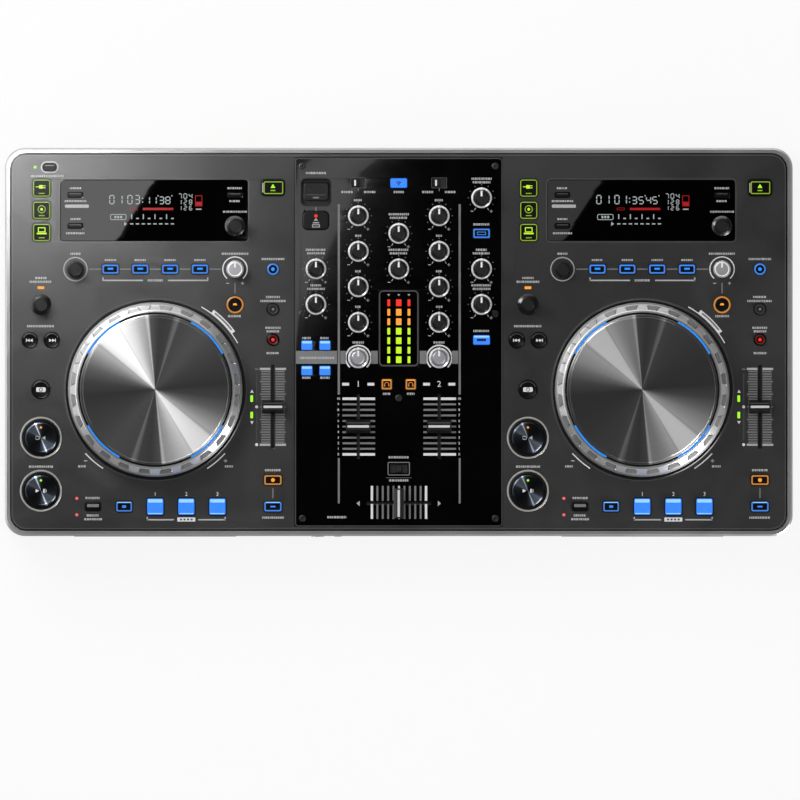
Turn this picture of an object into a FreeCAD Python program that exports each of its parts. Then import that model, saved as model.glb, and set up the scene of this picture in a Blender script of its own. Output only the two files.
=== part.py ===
import FreeCAD, Part
import math
import os

os.makedirs("parts", exist_ok=True)

# Sizes are in millimetres. The origin lies on the ground under the middle of the console.
# X runs to the right, Y to the rear and Z up.

# Plan: bands of panel round the base of each jog wheel, and a mixer between two equal decks
MIXER_WIDTH = 164.2
MIXER_SIDE_BAND = 38.9
OUTER_SIDE_BAND = 42.3
REAR_BAND = 114.6
FRONT_BAND = 39.2
RIM_WIDTH = 4.0
PANEL_GROOVE = 1.0

# Feet
FOOT_HEIGHT = 5.0
FOOT_RADIUS = 11.0
FOOT_TAPER = 1.5
FOOT_INSET_X = 42.0
FOOT_INSET_Y = 34.0

# Lower case
CASE_HEIGHT = 74.0
CASE_CORNER = 16.0
CASE_WALL = 3.0
CASE_FLOOR = 3.0
RIM_CHAMFER = 1.5
HOLLOW_CORNER = 8.0
LEDGE_WIDTH = 3.0
LEDGE_THICKNESS = 3.0
BAY_DEPTH = 10.0
BAY_HEIGHT = 57.0
BAY_TO_SIDE = 26.0
POST_RADIUS = 3.5
POST_TO_CORNER = 9.5
POST_TO_MIXER = 3.9
POST_TO_FRONT = 13.0
POST_TO_REAR = 43.5

# Top panel
PANEL_THICKNESS = 3.0
PANEL_PROUD = 1.0
PANEL_CORNER = 12.0
PANEL_CHAMFER = 0.5

# Mixer plate in its rebate
PLATE_TO_REAR = 2.9
PLATE_TO_FRONT = 2.5
PLATE_THICKNESS = 2.0
PLATE_PROUD = 0.3
PLATE_LEDGE = 3.6
SCREW_TO_SIDE = 5.8
SCREW_TO_END = 6.5
SCREW_MIDDLE_Y = 22.3
SCREW_HEAD_RADIUS = 2.7
SCREW_HEAD_HEIGHT = 1.0
SCREW_TAB = 8.4

# Clearances
KEY_CLEARANCE = 0.3
SHAFT_CLEARANCE = 0.5
REST_GAP = 0.3
FIT_GAP = 0.1
SPINDLE_CLEARANCE = 0.15

# Control boards
BOARD_DROP = 14.0
BOARD_THICKNESS = 1.6
BOARD_MARGIN = 3.2
BOARD_TO_EDGE = 9.0

# Jog wheels
JOG_RADIUS = 69.0
JOG_SHOULDER_INSET = 1.2
JOG_LIP_INSET = 6.4
JOG_SHOULDER_DROP = 8.0
JOG_RING_HEIGHT = 22.8
JOG_SKIRT_WALL = 2.5
JOG_WEB = 3.0
JOG_WEB_INSET = 2.1
JOG_PLATE_INSET = 3.2
JOG_PLATE_THICKNESS = 3.0
JOG_FLOAT = 1.8
JOG_HUB_RADIUS = 9.0
DIMPLE_COUNT = 24
DIMPLE_FLAT = 11.5
DIMPLE_OUTER_WIDTH = 12.6
DIMPLE_INNER_WIDTH = 8.0
DIMPLE_DEPTH = 1.5
DIMPLE_MARGIN = 0.7
SPINDLE_RADIUS = 4.0
SPINDLE_FLANGE_RADIUS = 18.0
SPINDLE_FLANGE = 3.0
SPINDLE_GAP = 4.0
HUB_HOLE_CLEARANCE = 3.0
JOG_BASE_STEP = 2.6
JOG_BASE_HEIGHT = 0.9

# How many flat sides the round pieces that repeat are made with
WHEEL_SIDES = 40
BUTTON_SIDES = 18
KNOB_SIDES = 14
SMALL_SIDES = 10
HIDDEN_SIDES = 6

# Display windows
WINDOW_WIDTH = 148.3
WINDOW_DEPTH = 48.4
WINDOW_OFFSET = -0.8
WINDOW_TO_REAR = 44.5
WINDOW_THICKNESS = 2.0
WINDOW_PROUD = 0.2
WINDOW_LEDGE = 3.0
DISPLAY_TO_SIDE = 22.15
DISPLAY_TO_END = 5.2

# Rotary controls: a collar, a tapered cap and a shaft
SHAFT_RADIUS = 3.0
KNOB_FLOAT = 0.8
MIXER_KNOB_COLLAR = 8.2
MIXER_KNOB_COLLAR_HEIGHT = 2.2
MIXER_KNOB_FOOT = 6.9
MIXER_KNOB_TOP = 5.3
MIXER_KNOB_HEIGHT = 17.5
BROWSE_COLLAR = 8.1
BROWSE_TOP = 5.6
BROWSE_HEIGHT = 16.5
BEAT_FOOT = 6.9
BEAT_TOP = 5.4
BEAT_HEIGHT = 15.5
DEPTH_FOOT = 7.0
DEPTH_TOP = 6.0
DEPTH_HEIGHT = 15.0
LOOP_COLLAR = 8.3
LOOP_TOP = 5.4
LOOP_HEIGHT = 16.0
ENCODER_COLLAR_HEIGHT = 2.5
POT_SIZE = 11.0

# Keys
KEY_PROUD = 1.6
KEY_DEPTH = 7.0
KEY_TRAVEL = 0.8
SOURCE_KEY = 13.5
SOURCE_KEY_TO_WINDOW = 14.85
SOURCE_KEY_TO_REAR = 26.8
SOURCE_KEY_PITCH = 17.55
SOURCE_KEY_COUNT = 3
SIDE_KEY_WIDTH = 11.5
SIDE_KEY_DEPTH = 3.6
KEY_TO_WINDOW_LEFT = 11.85
KEY_TO_WINDOW_RIGHT = 10.25
KEY_TO_WINDOW_END = 11.95
EJECT_WIDTH = 18.0
EJECT_DEPTH = 12.4
RIGHT_COLUMN_GAP = 21.5
EJECT_TO_REAR = 26.5
EFFECT_KEY_WIDTH = 12.7
EFFECT_KEY_DEPTH = 7.1
EFFECT_KEY_PITCH = 23.6
EFFECT_KEY_COUNT = 4
EFFECT_ROW_TO_REAR = 90.9
TAP_RADIUS = 6.8
TAP_BELOW_ROW = 28.2
TEMPO_KEY_RADIUS = 4.6
TEMPO_KEY_ABOVE_JOG = 39.5
TEMPO_KEY_PITCH = 24.1
LOOP_COLUMN_GAP = 18.8
LOOP_KNOB_ABOVE_JOG = 67.4
TRACK_KEY_RADIUS = 6.1
TRACK_KEY_PITCH = 17.5
TRACK_KEY_ABOVE_JOG = 39.0
LOOP_KEY_RADIUS = 7.1
PAD_SIZE = 12.7
PAD_PITCH = 24.6
PAD_COUNT = 3
PAD_ROW_TO_FRONT = 18.3
PAD_PROUD = 2.2
SMALL_KEY_WIDTH = 12.3
SMALL_KEY_DEPTH = 7.7
MODE_KEY_WIDTH = 11.7
MODE_KEY_DEPTH = 5.9
SYNC_KEY_WIDTH = 13.6
SYNC_KEY_DEPTH = 7.6
SYNC_KEY_PITCH = 21.0

# Cue and play buttons with their light rings
TRANSPORT_RADIUS = 12.6
TRANSPORT_PROUD = 3.4
TRANSPORT_CROWN = 0.8
TRANSPORT_RING_RADIUS = 16.6
TRANSPORT_RING_PROUD = 1.2
PLAY_TO_FRONT = 30.8
TRANSPORT_PITCH = 41.9
TRANSPORT_TRAVEL = 1.0

# Standby button
STANDBY_X = -83.5
STANDBY_TO_REAR = 10.2
STANDBY_WIDTH = 11.4
STANDBY_DEPTH = 6.6

# Faders
FADER_SLOT_WIDTH = 2.4
FADER_STEM_WIDTH = 1.4
FADER_STEM_LENGTH = 5.0
FADER_TRACK_WIDTH = 11.0
FADER_TRACK_HEIGHT = 9.0
FADER_TRACK_END = 6.0
FADER_CAP_LENGTH = 19.3
FADER_CAP_WIDTH = 10.5
FADER_CAP_RIDGE = 5.4
FADER_CAP_HEIGHT = 10.0
FADER_CAP_WAIST = 0.9
FADER_FLOAT = 1.2
TEMPO_TRAVEL = 60.0
TEMPO_CAP_LENGTH = 17.0
TEMPO_BELOW_JOG = 13.6
CHANNEL_TRAVEL = 45.0
CROSS_CAP_LENGTH = 23.7
CROSS_CAP_WIDTH = 8.0
CROSS_CAP_RIDGE = 4.2

# Mixer layout, across from the middle and down from the top edge of the panel
CHANNEL_X = 32.0
SIDE_COLUMN_TO_EDGE = 16.6
KNOB_PITCH = 28.1
TRIM_TO_REAR = 48.7
MASTER_TO_REAR = 62.6
MIXER_KEY_WIDTH = 13.0
MIXER_KEY_DEPTH = 7.3
NETWORK_KEY_TO_REAR = 22.8
STOP_KEY_WIDTH = 20.3
STOP_KEY_DEPTH = 14.5
STOP_KEY_BELOW_WELL = 22.4
PAIR_KEY_WIDTH = 8.6
PAIR_KEY_PITCH_X = 14.3
PAIR_KEY_PITCH_Y = 20.1
CUE_KEY_SIZE = 8.0
CUE_KEY_PITCH = 19.0
CUE_KEY_BELOW_METER = 14.05
METER_WIDTH = 31.8
METER_DEPTH = 60.5
METER_BELOW_BOOTH = 47.0
CHANNEL_FADER_BELOW_FILTER = 54.2
CROSSFADER_TO_FRONT = 20.8
CURVE_SWITCH_TO_FRONT = 48.3
INPUT_SWITCH_TO_REAR = 22.7
SWITCH_SLOT_WIDTH = 9.8
CURVE_SLOT_WIDTH = 13.6
SWITCH_SLOT_DEPTH = 6.6
SWITCH_NUB_WIDTH = 4.6
SWITCH_PROUD = 2.6
SWITCH_BODY_HEIGHT = 6.0

# Port well, cover and socket for a memory stick
WELL_WIDTH = 22.8
WELL_LENGTH = 20.7
WELL_DEPTH = 3.8
WELL_WALL = 1.5
WELL_CORNER = 2.0
WELL_TO_REAR = 30.0
COVER_WIDTH = 19.3
COVER_THICKNESS = 1.5
COVER_LENGTH = 14.1
COVER_TO_WELL = 1.6
COVER_HINGE_RADIUS = 0.9
PORT_SHELL_WIDTH = 14.5
PORT_SHELL_DEPTH = 7.0
PORT_MOUTH_WIDTH = 12.4
PORT_MOUTH_DEPTH = 5.0
PORT_TONGUE_WIDTH = 11.0
PORT_TONGUE_DEPTH = 1.8

# Lamps
LAMP_PROUD = 0.35
LAMP_WIDTH = 5.4
LAMP_DEPTH = 2.2
LOOP_LAMP_ABOVE_KNOB = 13.2
TEMPO_LAMP_BESIDE_FADER = 17.1

# Disc drives
DISC_SLOT_WIDTH = 124.0
DISC_SLOT_HEIGHT = 6.0
DISC_SLOT_Z = 41.0
DRIVE_WIDTH = 148.0
DRIVE_LENGTH = 178.0
DRIVE_HEIGHT = 28.0
DRIVE_SLOT_LENGTH = 132.0
DRIVE_LEG = 9.0

# Sockets
JACK_NOSE_RADIUS = 6.0
JACK_NOSE_LENGTH = 2.0
JACK_BORE_RADIUS = 3.2
JACK_BODY = 14.0
JACK_BODY_LENGTH = 24.0
JACK_END = 3.0
MINI_NOSE_RADIUS = 4.0
MINI_BORE_RADIUS = 1.8
MINI_BODY_LENGTH = 15.0
PHONES_X = -64.0
PHONES_PITCH = 16.0
PHONES_Z = 30.0
SOCKET_Z = 34.0
BALANCED_RADIUS = 11.0
BALANCED_CUP_RADIUS = 9.4
BALANCED_CUP_DEPTH = 12.0
BALANCED_LENGTH = 18.0
BALANCED_PITCH = 34.0
BALANCED_PIN_RADIUS = 1.2
BALANCED_PIN_CIRCLE = 3.8
BALANCED_FLANGE_WIDTH = 26.0
BALANCED_FLANGE_HEIGHT = 31.0
SOCKET_FLANGE = 1.5
PHONO_RADIUS = 4.15
PHONO_LENGTH = 8.0
PHONO_PITCH = 14.0
PHONO_BLOCK_WIDTH = 11.0
PHONO_BLOCK_HEIGHT = 26.0
PHONO_SPACING = 27.0
PHONO_TO_MAINS = 104.0
PHONO_PAIRS = 4
MAINS_WIDTH = 28.0
MAINS_HEIGHT = 20.0
MAINS_CAVITY_WIDTH = 24.0
MAINS_CAVITY_HEIGHT = 16.0
MAINS_CAVITY_DEPTH = 15.0
MAINS_BLADE_WIDTH = 2.0
MAINS_BLADE_HEIGHT = 4.0
MAINS_BLADE_PITCH = 14.0
MAINS_EARTH_RISE = 4.0
COMPUTER_WIDTH = 12.0
COMPUTER_HEIGHT = 11.0
COMPUTER_CAVITY = 8.4
COMPUTER_TONGUE = 4.6
COMPUTER_DEPTH = 9.0
COMPUTER_TO_MAINS = 56.0

# Power supply and main board
SUPPLY_WIDTH = 130.0
SUPPLY_LENGTH = 60.0
SUPPLY_TO_REAR = 76.0
MAIN_BOARD_WIDTH = 150.0
MAIN_BOARD_LENGTH = 95.0
MAIN_BOARD_TO_FRONT = 85.0
STANDOFF_HEIGHT = 8.0
STANDOFF = 6.0

# Levels and edges worked out from the sizes above
CASE_BOTTOM = FOOT_HEIGHT
FLOOR_TOP = CASE_BOTTOM + CASE_FLOOR
RIM_TOP = CASE_BOTTOM + CASE_HEIGHT
PANEL_TOP = RIM_TOP + PANEL_PROUD
PANEL_UNDER = PANEL_TOP - PANEL_THICKNESS
LEDGE_UNDER = PANEL_UNDER - LEDGE_THICKNESS
PLATE_TOP = PANEL_TOP + PLATE_PROUD
PLATE_UNDER = PLATE_TOP - PLATE_THICKNESS
WINDOW_TOP = PANEL_TOP + WINDOW_PROUD
WINDOW_UNDER = WINDOW_TOP - WINDOW_THICKNESS
BOARD_TOP = PANEL_TOP - BOARD_DROP
BOARD_UNDER = BOARD_TOP - BOARD_THICKNESS
KEY_BOTTOM = PANEL_TOP - KEY_DEPTH
JOG_BASE_RADIUS = JOG_RADIUS + JOG_BASE_STEP
JOG_SHOULDER_RADIUS = JOG_RADIUS - JOG_SHOULDER_INSET
JOG_LIP_RADIUS = JOG_RADIUS - JOG_LIP_INSET
JOG_WEB_RADIUS = JOG_LIP_RADIUS - JOG_WEB_INSET
JOG_PLATE_RADIUS = JOG_LIP_RADIUS - JOG_PLATE_INSET
JOG_TO_MIXER = JOG_BASE_RADIUS + MIXER_SIDE_BAND
DECK_WIDTH = JOG_TO_MIXER + JOG_BASE_RADIUS + OUTER_SIDE_BAND
PANEL_WIDTH = MIXER_WIDTH + 2 * DECK_WIDTH
PANEL_DEPTH = 2 * JOG_BASE_RADIUS + REAR_BAND + FRONT_BAND
CASE_WIDTH = PANEL_WIDTH + 2 * (RIM_WIDTH + PANEL_GROOVE)
CASE_DEPTH = PANEL_DEPTH + 2 * (RIM_WIDTH + PANEL_GROOVE)
REAR = PANEL_DEPTH / 2
FRONT = -PANEL_DEPTH / 2
DECK_X = MIXER_WIDTH / 2 + JOG_TO_MIXER
JOG_Y = FRONT + FRONT_BAND + JOG_BASE_RADIUS
PLATE_DEPTH = PANEL_DEPTH - PLATE_TO_REAR - PLATE_TO_FRONT
PLATE_Y = (PLATE_TO_FRONT - PLATE_TO_REAR) / 2
JOG_UNDER = PANEL_TOP + JOG_FLOAT
JOG_LIP_TOP = JOG_UNDER + JOG_RING_HEIGHT
JOG_TOP = JOG_LIP_TOP + JOG_PLATE_THICKNESS
BAY_TOP = CASE_BOTTOM + BAY_HEIGHT
FRONT_FACE = -CASE_DEPTH / 2
REAR_FACE = CASE_DEPTH / 2 - BAY_DEPTH
DECKS = {"left": -DECK_X, "right": DECK_X}
LOOP_COLUMN_X = -JOG_BASE_RADIUS - LOOP_COLUMN_GAP
RIGHT_COLUMN_X = JOG_BASE_RADIUS + RIGHT_COLUMN_GAP
WINDOW_Y = REAR - WINDOW_TO_REAR
WINDOW_LEFT = WINDOW_OFFSET - WINDOW_WIDTH / 2
WINDOW_RIGHT = WINDOW_OFFSET + WINDOW_WIDTH / 2
LEFT_KEY_X = WINDOW_LEFT + KEY_TO_WINDOW_LEFT
RIGHT_KEY_X = WINDOW_RIGHT - KEY_TO_WINDOW_RIGHT
UPPER_KEY_Y = WINDOW_Y + WINDOW_DEPTH / 2 - KEY_TO_WINDOW_END
LOWER_KEY_Y = WINDOW_Y - WINDOW_DEPTH / 2 + KEY_TO_WINDOW_END
SOURCE_KEY_X = WINDOW_LEFT - SOURCE_KEY_TO_WINDOW
EFFECT_Y = REAR - EFFECT_ROW_TO_REAR
PAD_Y = FRONT + PAD_ROW_TO_FRONT
LOOP_KNOB_Y = JOG_Y + LOOP_KNOB_ABOVE_JOG
PLAY_Y = FRONT + PLAY_TO_FRONT
CUE_Y = PLAY_Y + TRANSPORT_PITCH
TEMPO_Y = JOG_Y - TEMPO_BELOW_JOG
TRIM_Y = REAR - TRIM_TO_REAR
MASTER_Y = REAR - MASTER_TO_REAR
AUX_Y = MASTER_Y + KNOB_PITCH
FILTER_Y = TRIM_Y - 4 * KNOB_PITCH
METER_Y = MASTER_Y - KNOB_PITCH - METER_BELOW_BOOTH
CUE_KEY_Y = METER_Y - METER_DEPTH / 2 - CUE_KEY_BELOW_METER
CHANNEL_FADER_Y = FILTER_Y - CHANNEL_FADER_BELOW_FILTER
SIDE_COLUMN_X = MIXER_WIDTH / 2 - SIDE_COLUMN_TO_EDGE
CROSSFADER_Y = FRONT + CROSSFADER_TO_FRONT
CURVE_SWITCH_Y = FRONT + CURVE_SWITCH_TO_FRONT
INPUT_SWITCH_Y = REAR - INPUT_SWITCH_TO_REAR
WELL_Y = REAR - WELL_TO_REAR
WELL_FLOOR = PLATE_TOP - WELL_DEPTH
HINGE_Y = WELL_Y + WELL_LENGTH / 2 - COVER_TO_WELL - COVER_HINGE_RADIUS
HINGE_Z = PANEL_TOP - COVER_THICKNESS / 2
STEM_DEPTH = PANEL_THICKNESS + REST_GAP
SWITCH_TRAVEL = SWITCH_SLOT_WIDTH - SWITCH_NUB_WIDTH - 2 * SHAFT_CLEARANCE


# Basic shapes

def block(width, depth, bottom, top, x=0.0, y=0.0):
    """Upright block centred on x and y."""
    corner = FreeCAD.Vector(x - width / 2, y - depth / 2, bottom)
    return Part.makeBox(width, depth, top - bottom, corner)


def edges_at(shape, height):
    """Edges that lie flat at one height."""
    found = []
    for edge in shape.Edges:
        box = edge.BoundBox
        if abs(box.ZMin - height) < 1e-4 and abs(box.ZMax - height) < 1e-4:
            found.append(edge)
    return found


def upright_edges(shape):
    """Edges that run straight up."""
    found = []
    for edge in shape.Edges:
        box = edge.BoundBox
        if box.XLength < 1e-4 and box.YLength < 1e-4:
            found.append(edge)
    return found


def rounded_block(width, depth, radius, bottom, top, x=0.0, y=0.0):
    """Upright block with round corners."""
    body = block(width, depth, bottom, top, x, y)
    return body.makeFillet(radius, upright_edges(body))


def cut_corner_block(width, depth, corner, bottom, top, x=0.0, y=0.0):
    """Upright block with its corners cut off."""
    body = block(width, depth, bottom, top, x, y)
    return body.makeChamfer(corner, upright_edges(body))


def cylinder(radius, bottom, top, x=0.0, y=0.0):
    """Upright cylinder."""
    return Part.makeCylinder(radius, top - bottom, FreeCAD.Vector(x, y, bottom))


def even_turns(sides):
    """Directions of the corners of a body with equal flat sides."""
    return [2 * math.pi * (side + 0.5) / sides for side in range(sides)]


def flat_face(points):
    return Part.Face(Part.makePolygon(points + [points[0]]))


def with_flats(turns, profile, x=0.0, y=0.0):
    """Upright solid with flat sides, from radius and height pairs and the turns of its corners."""
    rows = []
    for radius, height in profile:
        row = []
        for turn in turns:
            row.append(FreeCAD.Vector(x + radius * math.cos(turn), y + radius * math.sin(turn), height))
        rows.append(row)
    faces = [flat_face(rows[0]), flat_face(rows[-1])]
    for lower, upper in zip(rows, rows[1:]):
        for side in range(len(turns)):
            faces.append(flat_face([lower[side - 1], lower[side], upper[side], upper[side - 1]]))
    return Part.makeSolid(Part.makeShell(faces))


def flat_sided(sides, radius, bottom, top, x=0.0, y=0.0):
    """Upright prism whose corners lie on the radius."""
    return with_flats(even_turns(sides), [(radius, bottom), (radius, top)], x, y)


def flat_sided_hole(sides, radius, bottom, top, x=0.0, y=0.0):
    """Prism whose flats lie on the radius."""
    return flat_sided(sides, radius / math.cos(math.pi / sides), bottom, top, x, y)


def shaft_hole(bottom, top, x, y):
    return flat_sided_hole(HIDDEN_SIDES, SHAFT_RADIUS + SHAFT_CLEARANCE, bottom, top, x, y)


def joined(first, *others):
    """One solid from pieces that overlap or touch."""
    return first.fuse(list(others)).removeSplitter()


def group(shapes):
    """Separate solids kept in one node."""
    return Part.makeCompound(shapes)


# Places of the keys: across, along, width and depth

def source_keys(deck_x):
    top = REAR - SOURCE_KEY_TO_REAR
    places = []
    for row in range(SOURCE_KEY_COUNT):
        places.append((deck_x + SOURCE_KEY_X, top - row * SOURCE_KEY_PITCH, SOURCE_KEY, SOURCE_KEY))
    return places


def window_keys(deck_x):
    """Slim keys in the display window: two at its left end, one at its right end."""
    return [
        (deck_x + LEFT_KEY_X, UPPER_KEY_Y, SIDE_KEY_WIDTH, SIDE_KEY_DEPTH),
        (deck_x + LEFT_KEY_X, LOWER_KEY_Y, SIDE_KEY_WIDTH, SIDE_KEY_DEPTH),
        (deck_x + RIGHT_KEY_X, UPPER_KEY_Y, SIDE_KEY_WIDTH, SIDE_KEY_DEPTH),
    ]


def effect_keys(deck_x):
    places = []
    for column in range(EFFECT_KEY_COUNT):
        x = deck_x + (column - (EFFECT_KEY_COUNT - 1) / 2) * EFFECT_KEY_PITCH
        places.append((x, EFFECT_Y, EFFECT_KEY_WIDTH, EFFECT_KEY_DEPTH))
    return places


def panel_keys(deck_x):
    """Square-cornered keys that pass through the top panel."""
    sync_x = deck_x + RIGHT_COLUMN_X
    places = source_keys(deck_x) + effect_keys(deck_x)
    places.append((sync_x, REAR - EJECT_TO_REAR, EJECT_WIDTH, EJECT_DEPTH))
    places.append((deck_x - PAD_PITCH, PAD_Y, SMALL_KEY_WIDTH, SMALL_KEY_DEPTH))
    places.append((deck_x - 2 * PAD_PITCH, PAD_Y, MODE_KEY_WIDTH, MODE_KEY_DEPTH))
    places.append((sync_x, PAD_Y, SYNC_KEY_WIDTH, SYNC_KEY_DEPTH))
    places.append((sync_x, PAD_Y + SYNC_KEY_PITCH, SYNC_KEY_WIDTH, SYNC_KEY_DEPTH))
    return places


def pads(deck_x):
    return [(deck_x + column * PAD_PITCH, PAD_Y, PAD_SIZE, PAD_SIZE) for column in range(PAD_COUNT)]


def round_keys(deck_x):
    """Round keys of a deck: across, along and radius."""
    places = [(deck_x + RIGHT_KEY_X, EFFECT_Y - TAP_BELOW_ROW, TAP_RADIUS)]
    places.append((deck_x + RIGHT_COLUMN_X, EFFECT_Y, TEMPO_KEY_RADIUS))
    for row in range(2):
        y = JOG_Y + TEMPO_KEY_ABOVE_JOG + (1 - row) * TEMPO_KEY_PITCH
        places.append((deck_x + RIGHT_COLUMN_X, y, TEMPO_KEY_RADIUS))
    for side in (-0.5, 0.5):
        x = deck_x + LOOP_COLUMN_X + side * TRACK_KEY_PITCH
        places.append((x, JOG_Y + TRACK_KEY_ABOVE_JOG, TRACK_KEY_RADIUS))
    places.append((deck_x + LOOP_COLUMN_X, JOG_Y, LOOP_KEY_RADIUS))
    return places


def transport_places(deck_x):
    return {"cue": (deck_x + LOOP_COLUMN_X, CUE_Y), "play": (deck_x + LOOP_COLUMN_X, PLAY_Y)}


def mixer_key_places():
    places = [(0.0, REAR - NETWORK_KEY_TO_REAR, MIXER_KEY_WIDTH, MIXER_KEY_DEPTH)]
    for step in (1, 4):
        places.append((SIDE_COLUMN_X, AUX_Y - step * KNOB_PITCH, MIXER_KEY_WIDTH, MIXER_KEY_DEPTH))
    places.append((-SIDE_COLUMN_X, WELL_Y - STOP_KEY_BELOW_WELL, STOP_KEY_WIDTH, STOP_KEY_DEPTH))
    for side in (-0.5, 0.5):
        for row in (-0.5, 0.5):
            x = -SIDE_COLUMN_X + side * PAIR_KEY_PITCH_X
            places.append((x, FILTER_Y + row * PAIR_KEY_PITCH_Y, PAIR_KEY_WIDTH, MIXER_KEY_DEPTH))
        places.append((side * CUE_KEY_PITCH, CUE_KEY_Y, CUE_KEY_SIZE, CUE_KEY_SIZE))
    return places


# Places of the rotary controls

def mixer_knob_places():
    """Every knob of the mixer plate by name."""
    places = {}
    for channel, x in (("1", -CHANNEL_X), ("2", CHANNEL_X)):
        for row, name in enumerate(("trim", "high", "middle", "low", "filter")):
            places[name + "_knob_" + channel] = (x, TRIM_Y - row * KNOB_PITCH)
    places["master_knob"] = (0.0, MASTER_Y)
    places["booth_knob"] = (0.0, MASTER_Y - KNOB_PITCH)
    places["phones_mix_knob"] = (-SIDE_COLUMN_X, MASTER_Y - KNOB_PITCH)
    places["phones_level_knob"] = (-SIDE_COLUMN_X, MASTER_Y - 2 * KNOB_PITCH)
    places["aux_knob"] = (SIDE_COLUMN_X, AUX_Y)
    places["mic_level_knob"] = (SIDE_COLUMN_X, AUX_Y - 2 * KNOB_PITCH)
    places["mic_tone_knob"] = (SIDE_COLUMN_X, AUX_Y - 3 * KNOB_PITCH)
    return places


def deck_rotary_places(deck_x):
    return {
        "browse_encoder": (deck_x + RIGHT_KEY_X, LOWER_KEY_Y),
        "beat_encoder": (deck_x + LEFT_KEY_X, EFFECT_Y),
        "depth_knob": (deck_x + RIGHT_KEY_X, EFFECT_Y),
        "loop_encoder": (deck_x + LOOP_COLUMN_X, LOOP_KNOB_Y),
    }


# Faders

def fader_places():
    """Each fader: across, along, travel and the direction that it slides in."""
    places = {}
    for side, deck_x in DECKS.items():
        places["tempo_fader_" + side] = (deck_x + RIGHT_COLUMN_X, TEMPO_Y, TEMPO_TRAVEL, "y")
    places["channel_fader_1"] = (-CHANNEL_X, CHANNEL_FADER_Y, CHANNEL_TRAVEL, "y")
    places["channel_fader_2"] = (CHANNEL_X, CHANNEL_FADER_Y, CHANNEL_TRAVEL, "y")
    places["crossfader"] = (0.0, CROSSFADER_Y, CHANNEL_TRAVEL, "x")
    return places


def along_slide(length, width, direction):
    """Width and depth of something that is long in the sliding direction."""
    if direction == "x":
        return length, width
    return width, length


def fader_slot(x, y, travel, direction, bottom, top):
    length = travel + FADER_STEM_LENGTH + 2 * SHAFT_CLEARANCE
    width, depth = along_slide(length, FADER_SLOT_WIDTH, direction)
    return block(width, depth, bottom, top, x, y)


def fader_track(x, y, travel, direction, top):
    """Metal channel under the slot, with the groove that the stem runs in."""
    length = travel + FADER_STEM_LENGTH + 2 * FADER_TRACK_END
    width, depth = along_slide(length, FADER_TRACK_WIDTH, direction)
    body = block(width, depth, top - FADER_TRACK_HEIGHT, top, x, y)
    return body.cut(fader_slot(x, y, travel, direction, top - STEM_DEPTH, top))


def fader_cap(x, y, direction, surface, thickness, cap_length, cap_width, ridge):
    """Waisted cap on a thin stem: the cap lies across the sliding direction."""
    low = surface + FADER_FLOAT
    high = low + FADER_CAP_HEIGHT
    shoulder = low + FADER_CAP_HEIGHT / 3
    outline = [
        (-cap_width / 2, low),
        (cap_width / 2, low),
        (cap_width / 2, shoulder),
        (ridge / 2, high),
        (0.0, high - FADER_CAP_WAIST),
        (-ridge / 2, high),
        (-cap_width / 2, shoulder),
    ]
    points = [FreeCAD.Vector(-cap_length / 2, along, height) for along, height in outline]
    points.append(points[0])
    cap = Part.Face(Part.makePolygon(points)).extrude(FreeCAD.Vector(cap_length, 0, 0))
    stem = block(FADER_STEM_WIDTH, FADER_STEM_LENGTH, surface - thickness - STEM_DEPTH + REST_GAP,
                 low + FADER_CAP_WAIST)
    body = joined(cap, stem)
    if direction == "x":
        body.rotate(FreeCAD.Vector(0, 0, 0), FreeCAD.Vector(0, 0, 1), 90)
    body.translate(FreeCAD.Vector(x, y, 0))
    return body


def fader_nodes():
    made = {}
    for name, (x, y, travel, direction) in fader_places().items():
        if name.startswith("tempo"):
            made[name] = fader_cap(x, y, direction, PANEL_TOP, PANEL_THICKNESS, TEMPO_CAP_LENGTH,
                                   FADER_CAP_WIDTH, FADER_CAP_RIDGE)
        elif name == "crossfader":
            made[name] = fader_cap(x, y, direction, PLATE_TOP, PLATE_THICKNESS, CROSS_CAP_LENGTH,
                                   CROSS_CAP_WIDTH, CROSS_CAP_RIDGE)
        else:
            made[name] = fader_cap(x, y, direction, PLATE_TOP, PLATE_THICKNESS, FADER_CAP_LENGTH,
                                   FADER_CAP_WIDTH, FADER_CAP_RIDGE)
    return made


# Slide switches

def switch_places():
    """Each slide switch: middle of its slot, slot width and where the nub rests."""
    rest = -SWITCH_TRAVEL / 2
    return {
        "input_switch_1": (-CHANNEL_X, INPUT_SWITCH_Y, SWITCH_SLOT_WIDTH, rest),
        "input_switch_2": (CHANNEL_X, INPUT_SWITCH_Y, SWITCH_SLOT_WIDTH, rest),
        "curve_switch": (0.0, CURVE_SWITCH_Y, CURVE_SLOT_WIDTH, 0.0),
    }


def switch_nodes():
    made = {}
    for name, (x, y, slot_width, rest) in switch_places().items():
        depth = SWITCH_SLOT_DEPTH - 2 * SHAFT_CLEARANCE
        top = PLATE_TOP + SWITCH_PROUD
        nub = block(SWITCH_NUB_WIDTH, depth, PLATE_UNDER + REST_GAP, top, x + rest, y)
        made[name] = nub.makeChamfer(SHAFT_CLEARANCE, edges_at(nub, top))
    return made


# Turned and pressed controls

def knob(x, y, surface, track, collar, collar_height, foot, top, height):
    """Tapered cap on a flared collar, with its shaft down to the carrier below."""
    base = surface + KNOB_FLOAT
    profile = [(foot, base), (top, surface + height)]
    if collar > foot:
        profile = [(collar, base), (foot, base + collar_height), (top, surface + height)]
    cap = with_flats(even_turns(KNOB_SIDES), profile, x, y)
    shaft = flat_sided(HIDDEN_SIDES, SHAFT_RADIUS, track + REST_GAP, base + KNOB_FLOAT, x, y)
    return joined(cap, shaft)


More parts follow.
